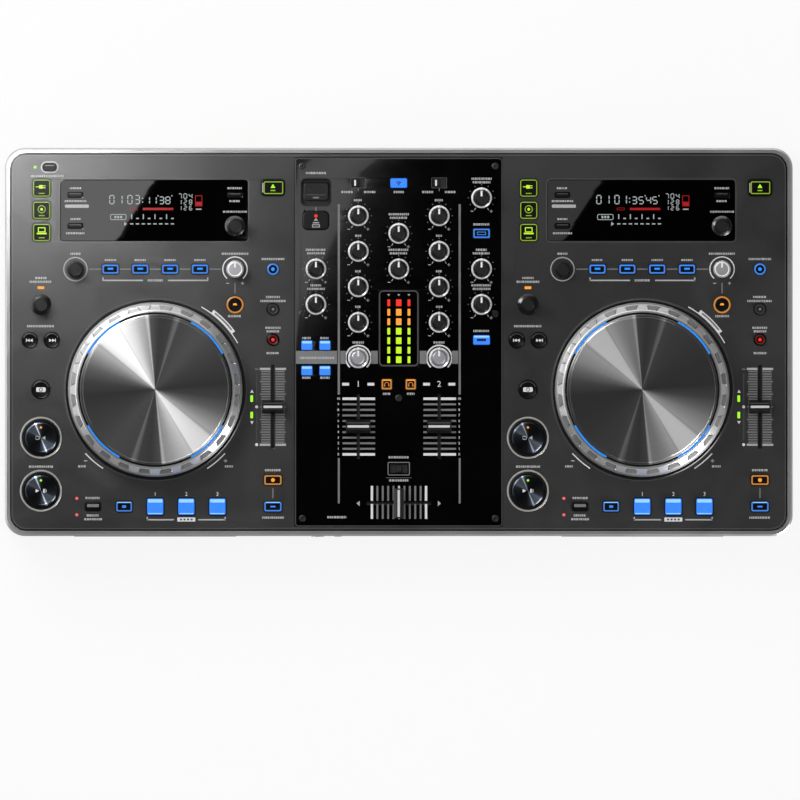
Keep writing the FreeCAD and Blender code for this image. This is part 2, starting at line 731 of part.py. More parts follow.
def mixer_knob_nodes():
    made = {}
    for name, (x, y) in mixer_knob_places().items():
        made[name] = knob(x, y, PLATE_TOP, PLATE_UNDER, MIXER_KNOB_COLLAR, MIXER_KNOB_COLLAR_HEIGHT,
                          MIXER_KNOB_FOOT, MIXER_KNOB_TOP, MIXER_KNOB_HEIGHT)
    return made


def deck_rotary_nodes():
    made = {}
    for side, deck_x in DECKS.items():
        places = deck_rotary_places(deck_x)
        x, y = places["browse_encoder"]
        made["browse_encoder_" + side] = knob(x, y, WINDOW_TOP, PANEL_UNDER, BROWSE_COLLAR,
                                              ENCODER_COLLAR_HEIGHT, BROWSE_TOP, BROWSE_TOP,
                                              BROWSE_HEIGHT)
        x, y = places["beat_encoder"]
        made["beat_encoder_" + side] = knob(x, y, PANEL_TOP, PANEL_UNDER, 0.0, 0.0,
                                            BEAT_FOOT, BEAT_TOP, BEAT_HEIGHT)
        x, y = places["depth_knob"]
        made["depth_knob_" + side] = knob(x, y, PANEL_TOP, PANEL_UNDER, 0.0, 0.0,
                                          DEPTH_FOOT, DEPTH_TOP, DEPTH_HEIGHT)
        x, y = places["loop_encoder"]
        made["loop_encoder_" + side] = knob(x, y, PANEL_TOP, PANEL_UNDER, LOOP_COLLAR,
                                            ENCODER_COLLAR_HEIGHT, LOOP_TOP, LOOP_TOP, LOOP_HEIGHT)
    return made


def key_cap(place, proud):
    """Square key that stands proud of the panel."""
    x, y, width, depth = place
    return block(width, depth, KEY_BOTTOM, PANEL_TOP + proud, x, y)


def deck_key_node(deck_x):
    keys = [key_cap(place, KEY_PROUD) for place in panel_keys(deck_x)]
    keys += [key_cap(place, WINDOW_PROUD + KEY_PROUD / 2) for place in window_keys(deck_x)]
    for x, y, radius in round_keys(deck_x):
        keys.append(flat_sided(SMALL_SIDES, radius, KEY_BOTTOM, PANEL_TOP + KEY_PROUD, x, y))
    return group(keys)


def pad_node():
    keys = []
    for deck_x in DECKS.values():
        keys += [key_cap(place, PAD_PROUD) for place in pads(deck_x)]
    return group(keys)


def mixer_key_node():
    return group([key_cap(place, PLATE_PROUD + KEY_PROUD) for place in mixer_key_places()])


def transport_button(x, y):
    """Large round button with a low crown."""
    high = PANEL_TOP + TRANSPORT_PROUD
    profile = [
        (TRANSPORT_RADIUS, KEY_BOTTOM),
        (TRANSPORT_RADIUS, high - TRANSPORT_CROWN),
        (TRANSPORT_RADIUS - 2 * TRANSPORT_CROWN, high),
    ]
    return with_flats(even_turns(BUTTON_SIDES), profile, x, y)


def transport_nodes():
    made = {}
    for side, deck_x in DECKS.items():
        for name, (x, y) in transport_places(deck_x).items():
            made[name + "_button_" + side] = transport_button(x, y)
    return made


def standby_place():
    return -DECK_X + STANDBY_X, REAR - STANDBY_TO_REAR, STANDBY_WIDTH, STANDBY_DEPTH


def standby_button():
    return key_cap(standby_place(), KEY_PROUD)


def port_cover():
    """Flap on a barrel that turns at the rear edge of the well."""
    barrel = flat_sided(HIDDEN_SIDES, COVER_HINGE_RADIUS, -COVER_WIDTH / 2, COVER_WIDTH / 2)
    barrel.rotate(FreeCAD.Vector(0, 0, 0), FreeCAD.Vector(0, 1, 0), 90)
    barrel.translate(FreeCAD.Vector(-SIDE_COLUMN_X, HINGE_Y, HINGE_Z))
    bottom = HINGE_Z - COVER_THICKNESS / 2
    flap = block(COVER_WIDTH, COVER_LENGTH, bottom, bottom + COVER_THICKNESS,
                 -SIDE_COLUMN_X, HINGE_Y - COVER_LENGTH / 2)
    return joined(flap, barrel)


# Jog wheels

def dimple_turns():
    """Corners of the ring: a wide flat for every dimple and a narrow one between two dimples."""
    half = math.radians(DIMPLE_FLAT / 2)
    turns = []
    for step in range(DIMPLE_COUNT):
        middle = 2 * math.pi * (step + 0.5) / DIMPLE_COUNT
        turns += [middle - half, middle + half]
    return turns


def dimple_cutter():
    """Tapered finger dimple on the sloping shoulder, at the right-hand side of the wheel."""
    inward = math.cos(math.radians(DIMPLE_FLAT / 2))
    run = (JOG_SHOULDER_RADIUS - JOG_LIP_RADIUS) * inward
    slope = math.hypot(run, JOG_SHOULDER_DROP)
    down = FreeCAD.Vector(run / slope, 0, -JOG_SHOULDER_DROP / slope)
    out = FreeCAD.Vector(JOG_SHOULDER_DROP / slope, 0, run / slope)
    start = FreeCAD.Vector(JOG_LIP_RADIUS * inward, 0, JOG_LIP_TOP) - out * DIMPLE_DEPTH
    inner = start + down * DIMPLE_MARGIN
    outer = start + down * (slope - DIMPLE_MARGIN)
    aside = FreeCAD.Vector(0, 0.5, 0)
    outline = [
        inner - aside * DIMPLE_INNER_WIDTH,
        outer - aside * DIMPLE_OUTER_WIDTH,
        outer + aside * DIMPLE_OUTER_WIDTH,
        inner + aside * DIMPLE_INNER_WIDTH,
    ]
    return flat_face(outline).extrude(out * (2 * DIMPLE_DEPTH))


def jog_ring(deck_x):
    """Moulded cup: web under the plate, sloping dimpled shoulder, skirt and hub."""
    web_under = JOG_LIP_TOP - JOG_WEB
    shell = with_flats(dimple_turns(), [
        (JOG_RADIUS, JOG_UNDER),
        (JOG_SHOULDER_RADIUS, JOG_LIP_TOP - JOG_SHOULDER_DROP),
        (JOG_LIP_RADIUS, JOG_LIP_TOP),
    ])
    hollow = with_flats(even_turns(DIMPLE_COUNT), [
        (JOG_RADIUS - JOG_SKIRT_WALL, JOG_UNDER),
        (JOG_WEB_RADIUS, web_under),
    ])
    hub = flat_sided(SMALL_SIDES, JOG_HUB_RADIUS, PANEL_UNDER + REST_GAP, web_under + JOG_WEB / 2)
    bore = cylinder(SPINDLE_RADIUS + SPINDLE_CLEARANCE, PANEL_UNDER, web_under)
    wheel = joined(shell.cut(hollow), hub)
    cutters = [bore]
    for step in range(DIMPLE_COUNT):
        cutter = dimple_cutter()
        turn = 360.0 * (step + 0.5) / DIMPLE_COUNT
        cutter.rotate(FreeCAD.Vector(0, 0, 0), FreeCAD.Vector(0, 0, 1), turn)
        cutters.append(cutter)
    wheel = wheel.cut(cutters)
    wheel.translate(FreeCAD.Vector(deck_x, JOG_Y, 0))
    return wheel


def jog_plate(deck_x):
    return flat_sided(WHEEL_SIDES, JOG_PLATE_RADIUS, JOG_LIP_TOP, JOG_TOP, deck_x, JOG_Y)


def jog_spindle(deck_x):
    """Fixed spindle on a flange under the panel."""
    flange = flat_sided(SMALL_SIDES, SPINDLE_FLANGE_RADIUS, PANEL_UNDER - SPINDLE_FLANGE, PANEL_UNDER,
                        deck_x, JOG_Y)
    post = flat_sided(SMALL_SIDES, SPINDLE_RADIUS, PANEL_UNDER - SPINDLE_FLANGE / 2,
                      JOG_LIP_TOP - JOG_WEB - SPINDLE_GAP, deck_x, JOG_Y)
    return joined(flange, post)


# Lower case

def posts():
    """Screw posts between the floor and the top panel."""
    far_x = PANEL_WIDTH / 2 - POST_TO_CORNER + LEDGE_WIDTH
    near_x = MIXER_WIDTH / 2 + POST_TO_MIXER
    made = []
    for x in (-far_x, -near_x, near_x, far_x):
        for y in (FRONT + POST_TO_FRONT, REAR - POST_TO_REAR):
            made.append(flat_sided(HIDDEN_SIDES, POST_RADIUS, FLOOR_TOP - CASE_FLOOR / 2,
                                   PANEL_UNDER, x, y))
    return made


def bay(extra):
    """Step in the rear wall that keeps the plugs under the rim."""
    width = CASE_WIDTH - 2 * BAY_TO_SIDE + 2 * extra
    return block(width, 2 * BAY_DEPTH, CASE_BOTTOM - CASE_FLOOR, BAY_TOP + extra,
                 0, CASE_DEPTH / 2 - extra)


def case_shell():
    """Open tray with a rim and the ledge that carries the top panel."""
    outer = rounded_block(CASE_WIDTH, CASE_DEPTH, CASE_CORNER, CASE_BOTTOM, RIM_TOP)
    outer = outer.makeChamfer(RIM_CHAMFER, edges_at(outer, RIM_TOP))
    outer = outer.cut(bay(0.0))
    hollow = cut_corner_block(CASE_WIDTH - 2 * CASE_WALL, CASE_DEPTH - 2 * CASE_WALL, HOLLOW_CORNER,
                              FLOOR_TOP, LEDGE_UNDER)
    hollow = hollow.cut(bay(CASE_WALL))
    pocket = rounded_block(CASE_WIDTH - 2 * RIM_WIDTH, CASE_DEPTH - 2 * RIM_WIDTH,
                           CASE_CORNER - RIM_WIDTH, PANEL_UNDER, RIM_TOP + PANEL_PROUD)
    inset = RIM_WIDTH + LEDGE_WIDTH
    mouth = rounded_block(CASE_WIDTH - 2 * inset, CASE_DEPTH - 2 * inset, CASE_CORNER - inset,
                          LEDGE_UNDER - LEDGE_THICKNESS, PANEL_UNDER + PANEL_PROUD)
    return outer.cut([hollow, pocket, mouth]).fuse(posts()).removeSplitter()


def lower_case():
    """Tray with the disc slots and the holes for the sockets."""
    holes = []
    for deck_x in DECKS.values():
        holes.append(block(DISC_SLOT_WIDTH, 4 * CASE_WALL, DISC_SLOT_Z - DISC_SLOT_HEIGHT / 2,
                           DISC_SLOT_Z + DISC_SLOT_HEIGHT / 2, deck_x, FRONT_FACE))
    for socket in sockets(cutting=True) + balanced_outputs(cutting=True):
        holes.append(socket)
    return case_shell().cut(holes)


def feet():
    made = []
    for x in (-CASE_WIDTH / 2 + FOOT_INSET_X, CASE_WIDTH / 2 - FOOT_INSET_X):
        for y in (-CASE_DEPTH / 2 + FOOT_INSET_Y, CASE_DEPTH / 2 - FOOT_INSET_Y):
            made.append(with_flats(even_turns(SMALL_SIDES), [
                (FOOT_RADIUS - FOOT_TAPER, 0),
                (FOOT_RADIUS, FOOT_HEIGHT),
            ], x, y))
    return group(made)


# Top panel and mixer plate

def key_hole(place, bottom, top, clearance=KEY_CLEARANCE):
    x, y, width, depth = place
    return block(width + 2 * clearance, depth + 2 * clearance, bottom, top, x, y)


def deck_holes(deck_x):
    """Everything that is cut through the panel for one deck."""
    low = PANEL_UNDER - PANEL_THICKNESS
    high = PANEL_TOP + PANEL_THICKNESS
    holes = [key_hole(place, low, high) for place in panel_keys(deck_x) + pads(deck_x)]
    for x, y, radius in round_keys(deck_x):
        holes.append(flat_sided_hole(SMALL_SIDES, radius + KEY_CLEARANCE, low, high, x, y))
    for x, y in transport_places(deck_x).values():
        holes.append(flat_sided_hole(BUTTON_SIDES, TRANSPORT_RADIUS + KEY_CLEARANCE, low, high, x, y))
    for name, (x, y) in deck_rotary_places(deck_x).items():
        if name != "browse_encoder":
            holes.append(shaft_hole(low, high, x, y))
    holes.append(flat_sided_hole(HIDDEN_SIDES, JOG_HUB_RADIUS + HUB_HOLE_CLEARANCE, low, high,
                                 deck_x, JOG_Y))
    holes.append(fader_slot(deck_x + RIGHT_COLUMN_X, TEMPO_Y, TEMPO_TRAVEL, "y", low, high))
    window_x = deck_x + WINDOW_OFFSET
    holes.append(block(WINDOW_WIDTH - 2 * WINDOW_LEDGE, WINDOW_DEPTH - 2 * WINDOW_LEDGE, low, high,
                       window_x, WINDOW_Y))
    holes.append(block(WINDOW_WIDTH + 2 * FIT_GAP, WINDOW_DEPTH + 2 * FIT_GAP, WINDOW_UNDER, high,
                       window_x, WINDOW_Y))
    return holes


def plate_opening():
    """Window under the mixer plate and its well, with tabs left for its screws."""
    width = MIXER_WIDTH - 2 * PLATE_LEDGE
    depth = PLATE_DEPTH - 2 * PLATE_LEDGE
    low = PANEL_UNDER - PANEL_THICKNESS
    opening = block(width, depth, low, PANEL_TOP, 0, PLATE_Y)
    opening = joined(opening, well_block(WELL_WALL + FIT_GAP, low, PANEL_TOP))
    tabs = []
    for x, y in screw_places():
        if x != 0.0:
            tabs.append(block(SCREW_TAB, SCREW_TAB, PANEL_UNDER - 2 * PANEL_THICKNESS, PLATE_UNDER,
                              math.copysign(MIXER_WIDTH / 2 - SCREW_TAB / 2, x), y))
    return opening.cut(tabs)


def jog_base(deck_x):
    """Low step under the wheel."""
    return flat_sided(WHEEL_SIDES, JOG_BASE_RADIUS, PANEL_UNDER + FIT_GAP, PANEL_TOP + JOG_BASE_HEIGHT,
                      deck_x, JOG_Y)


def top_panel():
    panel = rounded_block(PANEL_WIDTH, PANEL_DEPTH, PANEL_CORNER, PANEL_UNDER, PANEL_TOP)
    panel = panel.makeChamfer(PANEL_CHAMFER, edges_at(panel, PANEL_TOP))
    panel = joined(panel, *[jog_base(deck_x) for deck_x in DECKS.values()])
    rebate = block(MIXER_WIDTH + 2 * FIT_GAP, PLATE_DEPTH + 2 * FIT_GAP, PLATE_UNDER,
                   PANEL_TOP + PANEL_THICKNESS, 0, PLATE_Y)
    holes = [rebate, plate_opening(), key_hole(standby_place(), PANEL_UNDER - PANEL_THICKNESS,
                                               PANEL_TOP + PANEL_THICKNESS)]
    for deck_x in DECKS.values():
        holes += deck_holes(deck_x)
    return panel.cut(holes)


def screw_places():
    side = MIXER_WIDTH / 2 - SCREW_TO_SIDE
    rear = PLATE_Y + PLATE_DEPTH / 2 - SCREW_TO_END
    front = PLATE_Y - PLATE_DEPTH / 2 + SCREW_TO_END
    places = []
    for x in (-side, side):
        for y in (rear, SCREW_MIDDLE_Y, front):
            places.append((x, y))
    places.append((0.0, CHANNEL_FADER_Y + CHANNEL_TRAVEL / 2))
    return places


def screws():
    made = []
    for x, y in screw_places():
        made.append(with_flats(even_turns(HIDDEN_SIDES), [
            (SCREW_HEAD_RADIUS, PLATE_TOP),
            (SCREW_HEAD_RADIUS - SCREW_HEAD_HEIGHT / 2, PLATE_TOP + SCREW_HEAD_HEIGHT),
        ], x, y))
    return group(made)


def well_block(extra, bottom, top):
    return cut_corner_block(WELL_WIDTH + 2 * extra, WELL_LENGTH + 2 * extra, WELL_CORNER + extra / 2,
                            bottom, top, -SIDE_COLUMN_X, WELL_Y)


def well_hollow(top):
    """Hollow of the well, less the two lugs that hold the hinge of the cover."""
    length = 2 * (WELL_Y + WELL_LENGTH / 2 - HINGE_Y) + 2 * COVER_HINGE_RADIUS
    inner = COVER_WIDTH / 2 + REST_GAP
    width = WELL_WIDTH / 2 - inner
    lugs = []
    for side in (-1, 1):
        lugs.append(block(width, length, WELL_FLOOR, PANEL_TOP,
                          -SIDE_COLUMN_X + side * (inner + width / 2), WELL_Y + WELL_LENGTH / 2))
    return well_block(0.0, WELL_FLOOR, top).cut(lugs)


def mixer_plate():
    """Glossy plate with the port well under it."""
    plate = block(MIXER_WIDTH, PLATE_DEPTH, PLATE_UNDER, PLATE_TOP, 0, PLATE_Y)
    plate = joined(plate, well_block(WELL_WALL, WELL_FLOOR - WELL_WALL, PLATE_TOP))
    low = PLATE_UNDER - PLATE_THICKNESS
    high = PLATE_TOP + PLATE_THICKNESS
    holes = [well_hollow(high)]
    holes.append(block(PORT_SHELL_WIDTH, PORT_SHELL_DEPTH, low - WELL_DEPTH, high,
                       -SIDE_COLUMN_X, WELL_Y))
    holes += [key_hole(place, low, high) for place in mixer_key_places()]
    holes += [shaft_hole(low, high, x, y) for x, y in mixer_knob_places().values()]
    for name, (x, y, travel, direction) in fader_places().items():
        if not name.startswith("tempo"):
            holes.append(fader_slot(x, y, travel, direction, low, high))
    for x, y, width, rest in switch_places().values():
        holes.append(block(width, SWITCH_SLOT_DEPTH, low, high, x, y))
    holes.append(block(METER_WIDTH + 2 * FIT_GAP, METER_DEPTH + 2 * FIT_GAP, low, high, 0, METER_Y))
    return plate.cut(holes)


def display_windows():
    """Glass of both decks and the lens of the level meter."""
    made = []
    low = WINDOW_UNDER - WINDOW_THICKNESS
    high = WINDOW_TOP + WINDOW_THICKNESS
    for deck_x in DECKS.values():
        glass = block(WINDOW_WIDTH, WINDOW_DEPTH, WINDOW_UNDER, WINDOW_TOP, deck_x + WINDOW_OFFSET,
                      WINDOW_Y)
        holes = [key_hole(place, low, high) for place in window_keys(deck_x)]
        x, y = deck_rotary_places(deck_x)["browse_encoder"]
        holes.append(shaft_hole(low, high, x, y))
        made.append(glass.cut(holes))
    made.append(block(METER_WIDTH, METER_DEPTH, PLATE_UNDER, PLATE_TOP, 0, METER_Y))
    return group(made)


# Lamps

def lamp(x, y, width, depth, surface=PANEL_TOP):
    return block(width, depth, surface, surface + LAMP_PROUD, x, y)


def transport_ring(x, y):
    """Light ring and collar round a cue or play button, seated on the panel."""
    high = PANEL_TOP + TRANSPORT_RING_PROUD
    ring = flat_sided(BUTTON_SIDES, TRANSPORT_RING_RADIUS, PANEL_TOP, high, x, y)
    return ring.cut(flat_sided_hole(BUTTON_SIDES, TRANSPORT_RADIUS + KEY_CLEARANCE, PANEL_UNDER,
                                    high + KEY_CLEARANCE, x, y))


def indicator_lights():
    """Lamps on the panel and the rings round the cue and play buttons."""
    made = [lamp(standby_place()[0] - STANDBY_WIDTH, standby_place()[1], LAMP_DEPTH, LAMP_DEPTH)]
    for deck_x in DECKS.values():
        made.append(lamp(deck_x + LOOP_COLUMN_X, LOOP_KNOB_Y + LOOP_LAMP_ABOVE_KNOB,
                         LAMP_WIDTH, LAMP_DEPTH))
        for side in (-1.2, 1.2):
            made.append(lamp(deck_x + RIGHT_COLUMN_X - TEMPO_LAMP_BESIDE_FADER,
                             TEMPO_Y + side * LAMP_WIDTH, LAMP_DEPTH, LAMP_WIDTH))
            made.append(lamp(deck_x - 2 * PAD_PITCH - MODE_KEY_WIDTH - LAMP_DEPTH / 2,
                             PAD_Y + side * LAMP_WIDTH, LAMP_DEPTH, LAMP_DEPTH))
        for x, y in transport_places(deck_x).values():
            made.append(transport_ring(x, y))
    return group(made)


# Inside the case

def dome_strip(x, y, width, depth, travel=KEY_TRAVEL):
    """Rubber dome strip under keys, low enough for them to be pressed."""
    top = KEY_BOTTOM - travel - REST_GAP
    return block(width, depth, BOARD_TOP - BOARD_THICKNESS / 2, top, x, y)


def deck_board(deck_x):
    """Control board of a deck, with the display module and the dome strips on it."""
    near = PANEL_WIDTH / 2 - DECK_WIDTH + POST_TO_MIXER + POST_RADIUS + BOARD_MARGIN
    far = PANEL_WIDTH / 2 - POST_TO_CORNER - BOARD_MARGIN
    middle = math.copysign((near + far) / 2, deck_x)
    depth = PANEL_DEPTH - 2 * BOARD_TO_EDGE
    board = block(far - near, depth, BOARD_UNDER, BOARD_TOP, middle, 0)
    window_x = deck_x + WINDOW_OFFSET
    display_width = WINDOW_WIDTH - 2 * DISPLAY_TO_SIDE
    display_depth = WINDOW_DEPTH - 2 * DISPLAY_TO_END
    parts = [block(display_width, display_depth, BOARD_UNDER, WINDOW_UNDER - REST_GAP, window_x,
                   WINDOW_Y)]
    parts.append(dome_strip(deck_x + SOURCE_KEY_X, REAR - SOURCE_KEY_TO_REAR - SOURCE_KEY_PITCH,
                            SOURCE_KEY / 2, 2 * SOURCE_KEY_PITCH + SOURCE_KEY / 2))
    parts.append(dome_strip(deck_x, EFFECT_Y, (EFFECT_KEY_COUNT - 1) * EFFECT_KEY_PITCH
                            + EFFECT_KEY_WIDTH / 2, EFFECT_KEY_DEPTH / 2))
    parts.append(dome_strip(deck_x, PAD_Y, 4 * PAD_PITCH + PAD_SIZE / 2, MODE_KEY_DEPTH))
    parts.append(dome_strip(deck_x + LOOP_COLUMN_X, JOG_Y + TRACK_KEY_ABOVE_JOG,
                            TRACK_KEY_PITCH + TRACK_KEY_RADIUS, TRACK_KEY_RADIUS))
    for x, y in transport_places(deck_x).values():
        parts.append(dome_strip(x, y, TRANSPORT_RADIUS, TRANSPORT_RADIUS, TRANSPORT_TRAVEL))
    board = joined(board, *parts)
    return board


def mixer_board():
    width = MIXER_WIDTH - 2 * BOARD_MARGIN
    depth = PLATE_DEPTH - 4 * BOARD_MARGIN
    board = block(width, depth, BOARD_UNDER, BOARD_TOP, 0, PLATE_Y)
    meter = block(METER_WIDTH - 2 * BOARD_MARGIN, METER_DEPTH - 2 * BOARD_MARGIN, BOARD_UNDER,
                  PLATE_UNDER - REST_GAP, 0, METER_Y)
    return joined(board, meter)


def standoffs(width, length, y):
    made = []
    for x in (-width / 2 + STANDOFF, width / 2 - STANDOFF):
        for side in (-length / 2 + STANDOFF, length / 2 - STANDOFF):
            made.append(block(STANDOFF, STANDOFF, FLOOR_TOP,
                              FLOOR_TOP + STANDOFF_HEIGHT + BOARD_THICKNESS / 2, x, y + side))
    return made


def main_board():
    """Board on the floor of the case, with its processor and heat sink."""
    y = FRONT + MAIN_BOARD_TO_FRONT
    low = FLOOR_TOP + STANDOFF_HEIGHT
    high = low + BOARD_THICKNESS
    board = block(MAIN_BOARD_WIDTH, MAIN_BOARD_LENGTH, low, high, 0, y)
    processor = block(MAIN_BOARD_WIDTH / 5, MAIN_BOARD_WIDTH / 5, low, high + BOARD_THICKNESS, 0, y)
    return joined(board, processor, *standoffs(MAIN_BOARD_WIDTH, MAIN_BOARD_LENGTH, y))


def circuit_boards():
    made = [deck_board(deck_x) for deck_x in DECKS.values()]
    return group(made + [mixer_board(), main_board(), power_supply()])


def power_supply():
    """Board with a transformer, a capacitor and a finned heat sink."""
    y = REAR - SUPPLY_TO_REAR
    low = FLOOR_TOP + STANDOFF_HEIGHT
    high = low + BOARD_THICKNESS
    board = block(SUPPLY_WIDTH, SUPPLY_LENGTH, low, high, 0, y)
    parts = [block(SUPPLY_LENGTH / 2, SUPPLY_LENGTH / 2, low, high + SUPPLY_LENGTH / 2.5, 0, y)]
    parts.append(flat_sided(SMALL_SIDES, SUPPLY_LENGTH / 6, low, high + SUPPLY_LENGTH / 2.5,
                            -SUPPLY_WIDTH / 4, y))
    for fin in range(4):
        x = SUPPLY_WIDTH / 4 + fin * SUPPLY_WIDTH / 20
        parts.append(block(BOARD_THICKNESS, SUPPLY_LENGTH / 2, low, high + SUPPLY_LENGTH / 2.5, x, y))
    parts.append(block(SUPPLY_WIDTH / 5, SUPPLY_LENGTH / 2, low, high + BOARD_THICKNESS,
                       SUPPLY_WIDTH / 4 + 1.5 * SUPPLY_WIDTH / 20, y))
    return joined(board, *parts, *standoffs(SUPPLY_WIDTH, SUPPLY_LENGTH, y))


def disc_drive(deck_x):
    """Slot-loading drive on legs, with its mouth behind the slot of the case."""
    front = FRONT_FACE + CASE_WALL
    y = front + DRIVE_LENGTH / 2
    low = DISC_SLOT_Z - DRIVE_HEIGHT / 2
    body = block(DRIVE_WIDTH, DRIVE_LENGTH, low, low + DRIVE_HEIGHT, deck_x, y)
    legs = []
    for side in (-DRIVE_WIDTH / 2 + DRIVE_LEG, DRIVE_WIDTH / 2 - DRIVE_LEG):
        for end in (front + 2 * DRIVE_LEG, front + DRIVE_LENGTH - 2 * DRIVE_LEG):
            legs.append(block(DRIVE_LEG, DRIVE_LEG, FLOOR_TOP, low + DRIVE_LEG / 2, deck_x + side, end))
    mouth = block(DISC_SLOT_WIDTH, DRIVE_SLOT_LENGTH, DISC_SLOT_Z - DISC_SLOT_HEIGHT / 2,
                  DISC_SLOT_Z + DISC_SLOT_HEIGHT / 2, deck_x, front + DRIVE_SLOT_LENGTH / 2)
    return joined(body, *legs).cut(mouth)


def disc_drives():
    return group([disc_drive(deck_x) for deck_x in DECKS.values()])


def control_bodies():
    """Potentiometers, encoders, fader tracks and slide switch bodies."""
    made = []
    for x, y in mixer_knob_places().values():
        made.append(block(POT_SIZE, POT_SIZE, BOARD_TOP, PLATE_UNDER, x, y))
    for deck_x in DECKS.values():
        for x, y in deck_rotary_places(deck_x).values():
            made.append(block(POT_SIZE, POT_SIZE, BOARD_TOP, PANEL_UNDER, x, y))
    for name, (x, y, travel, direction) in fader_places().items():
        top = PANEL_UNDER if name.startswith("tempo") else PLATE_UNDER
        made.append(fader_track(x, y, travel, direction, top))
    for x, y, width, rest in switch_places().values():
        made.append(block(width + FADER_SLOT_WIDTH, SWITCH_SLOT_DEPTH + FADER_SLOT_WIDTH,
                          PLATE_UNDER - SWITCH_BODY_HEIGHT, PLATE_UNDER, x, y))
    return group(made)


# Sockets are made with their mouth to the rear, then turned and moved

def placed(shape, x, y, z, forward=False):
    if forward:
        shape.rotate(FreeCAD.Vector(0, 0, 0), FreeCAD.Vector(0, 0, 1), 180)
    shape.translate(FreeCAD.Vector(x, y, z))
    return shape


def along_y(radius, start, end, x=0.0, z=0.0, sides=SMALL_SIDES):
    """Round piece with flat sides that lies along Y."""
    body = flat_sided_hole(sides, radius, start, end)
    body.rotate(FreeCAD.Vector(0, 0, 0), FreeCAD.Vector(1, 0, 0), -90)
    body.translate(FreeCAD.Vector(x, 0, z))
    return body


def beam(width, height, start, end, x=0.0, z=0.0):
    """Block that lies along Y."""
    corner = FreeCAD.Vector(x - width / 2, start, z - height / 2)
    return Part.makeBox(width, end - start, height, corner)


def jack(nose_radius, nose_length, bore_radius, body_length, cutting):
    """Headphone or microphone socket with a round nose through the wall."""
    if cutting:
        return along_y(nose_radius, -2 * CASE_WALL, CASE_WALL)
    nose = along_y(nose_radius, -CASE_WALL, nose_length)
    width = JACK_BODY * nose_radius / JACK_NOSE_RADIUS
    body = beam(width, width, -body_length, -CASE_WALL)
    return joined(body, nose).cut(along_y(bore_radius, JACK_END - body_length, CASE_WALL))


def balanced_socket(cutting):
    """Balanced output with three pins in a round cup."""
    if cutting:
        return along_y(BALANCED_RADIUS, -2 * CASE_WALL, CASE_WALL)
    body = along_y(BALANCED_RADIUS, -BALANCED_LENGTH, SOCKET_FLANGE / 2)
    flange = beam(BALANCED_FLANGE_WIDTH, BALANCED_FLANGE_HEIGHT, 0, SOCKET_FLANGE)
    cup = along_y(BALANCED_CUP_RADIUS, SOCKET_FLANGE - BALANCED_CUP_DEPTH, 2 * SOCKET_FLANGE)
    pins = []
    for turn in (30, 150, 270):
        x = BALANCED_PIN_CIRCLE * math.cos(math.radians(turn))
        z = BALANCED_PIN_CIRCLE * math.sin(math.radians(turn))
        pins.append(beam(2 * BALANCED_PIN_RADIUS, 2 * BALANCED_PIN_RADIUS, -BALANCED_CUP_DEPTH, 0, x, z))
    return joined(joined(body, flange).cut(cup), *pins)


def phono_pair(cutting):
    """Two phono sockets one above the other in a block."""
    if cutting:
        return beam(PHONO_BLOCK_WIDTH, PHONO_BLOCK_HEIGHT, -2 * CASE_WALL, CASE_WALL)
    body = beam(PHONO_BLOCK_WIDTH, PHONO_BLOCK_HEIGHT, -PHONO_BLOCK_WIDTH, 0)
    tubes = []
    for z in (-PHONO_PITCH / 2, PHONO_PITCH / 2):
        tubes.append(along_y(PHONO_RADIUS, -SOCKET_FLANGE, PHONO_LENGTH, 0.0, z, HIDDEN_SIDES + 2))
    return joined(body, *tubes)


def mains_inlet(cutting):
    """Mains inlet with three blades in a deep cavity."""
    if cutting:
        return beam(MAINS_WIDTH, MAINS_HEIGHT, -2 * CASE_WALL, CASE_WALL)
    depth = MAINS_CAVITY_DEPTH
    body = beam(MAINS_WIDTH, MAINS_HEIGHT, -depth - CASE_WALL, SOCKET_FLANGE)
    body = body.cut(beam(MAINS_CAVITY_WIDTH, MAINS_CAVITY_HEIGHT, -depth, 2 * SOCKET_FLANGE))
    blades = []
    for x, z in ((-MAINS_BLADE_PITCH / 2, 0), (MAINS_BLADE_PITCH / 2, 0), (0, MAINS_EARTH_RISE)):
        blades.append(beam(MAINS_BLADE_WIDTH, MAINS_BLADE_HEIGHT, -depth - CASE_WALL / 2,
                           -CASE_WALL, x, z))
    return joined(body, *blades)


def computer_socket(cutting):
    """Square socket for a computer lead, with its tongue."""
    if cutting:
        return beam(COMPUTER_WIDTH, COMPUTER_HEIGHT, -2 * CASE_WALL, CASE_WALL)
    body = beam(COMPUTER_WIDTH, COMPUTER_HEIGHT, -COMPUTER_DEPTH - CASE_WALL, 0)
    body = body.cut(beam(COMPUTER_CAVITY, COMPUTER_CAVITY, -COMPUTER_DEPTH, SOCKET_FLANGE))
    return joined(body, beam(COMPUTER_TONGUE, COMPUTER_TONGUE, -COMPUTER_DEPTH - CASE_WALL / 2,
                             -SOCKET_FLANGE))


def stick_port():
    """Upright port for a memory stick, in the floor of the port well."""
    shell = block(PORT_SHELL_WIDTH, PORT_SHELL_DEPTH, BOARD_TOP, WELL_FLOOR, -SIDE_COLUMN_X, WELL_Y)
    mouth = block(PORT_MOUTH_WIDTH, PORT_MOUTH_DEPTH, BOARD_TOP + BOARD_THICKNESS, WELL_FLOOR + WELL_WALL,
                  -SIDE_COLUMN_X, WELL_Y)
    tongue = block(PORT_TONGUE_WIDTH, PORT_TONGUE_DEPTH, BOARD_TOP + BOARD_THICKNESS / 2,
                   WELL_FLOOR - WELL_WALL / 2, -SIDE_COLUMN_X, WELL_Y)
    return joined(shell.cut(mouth), tongue)


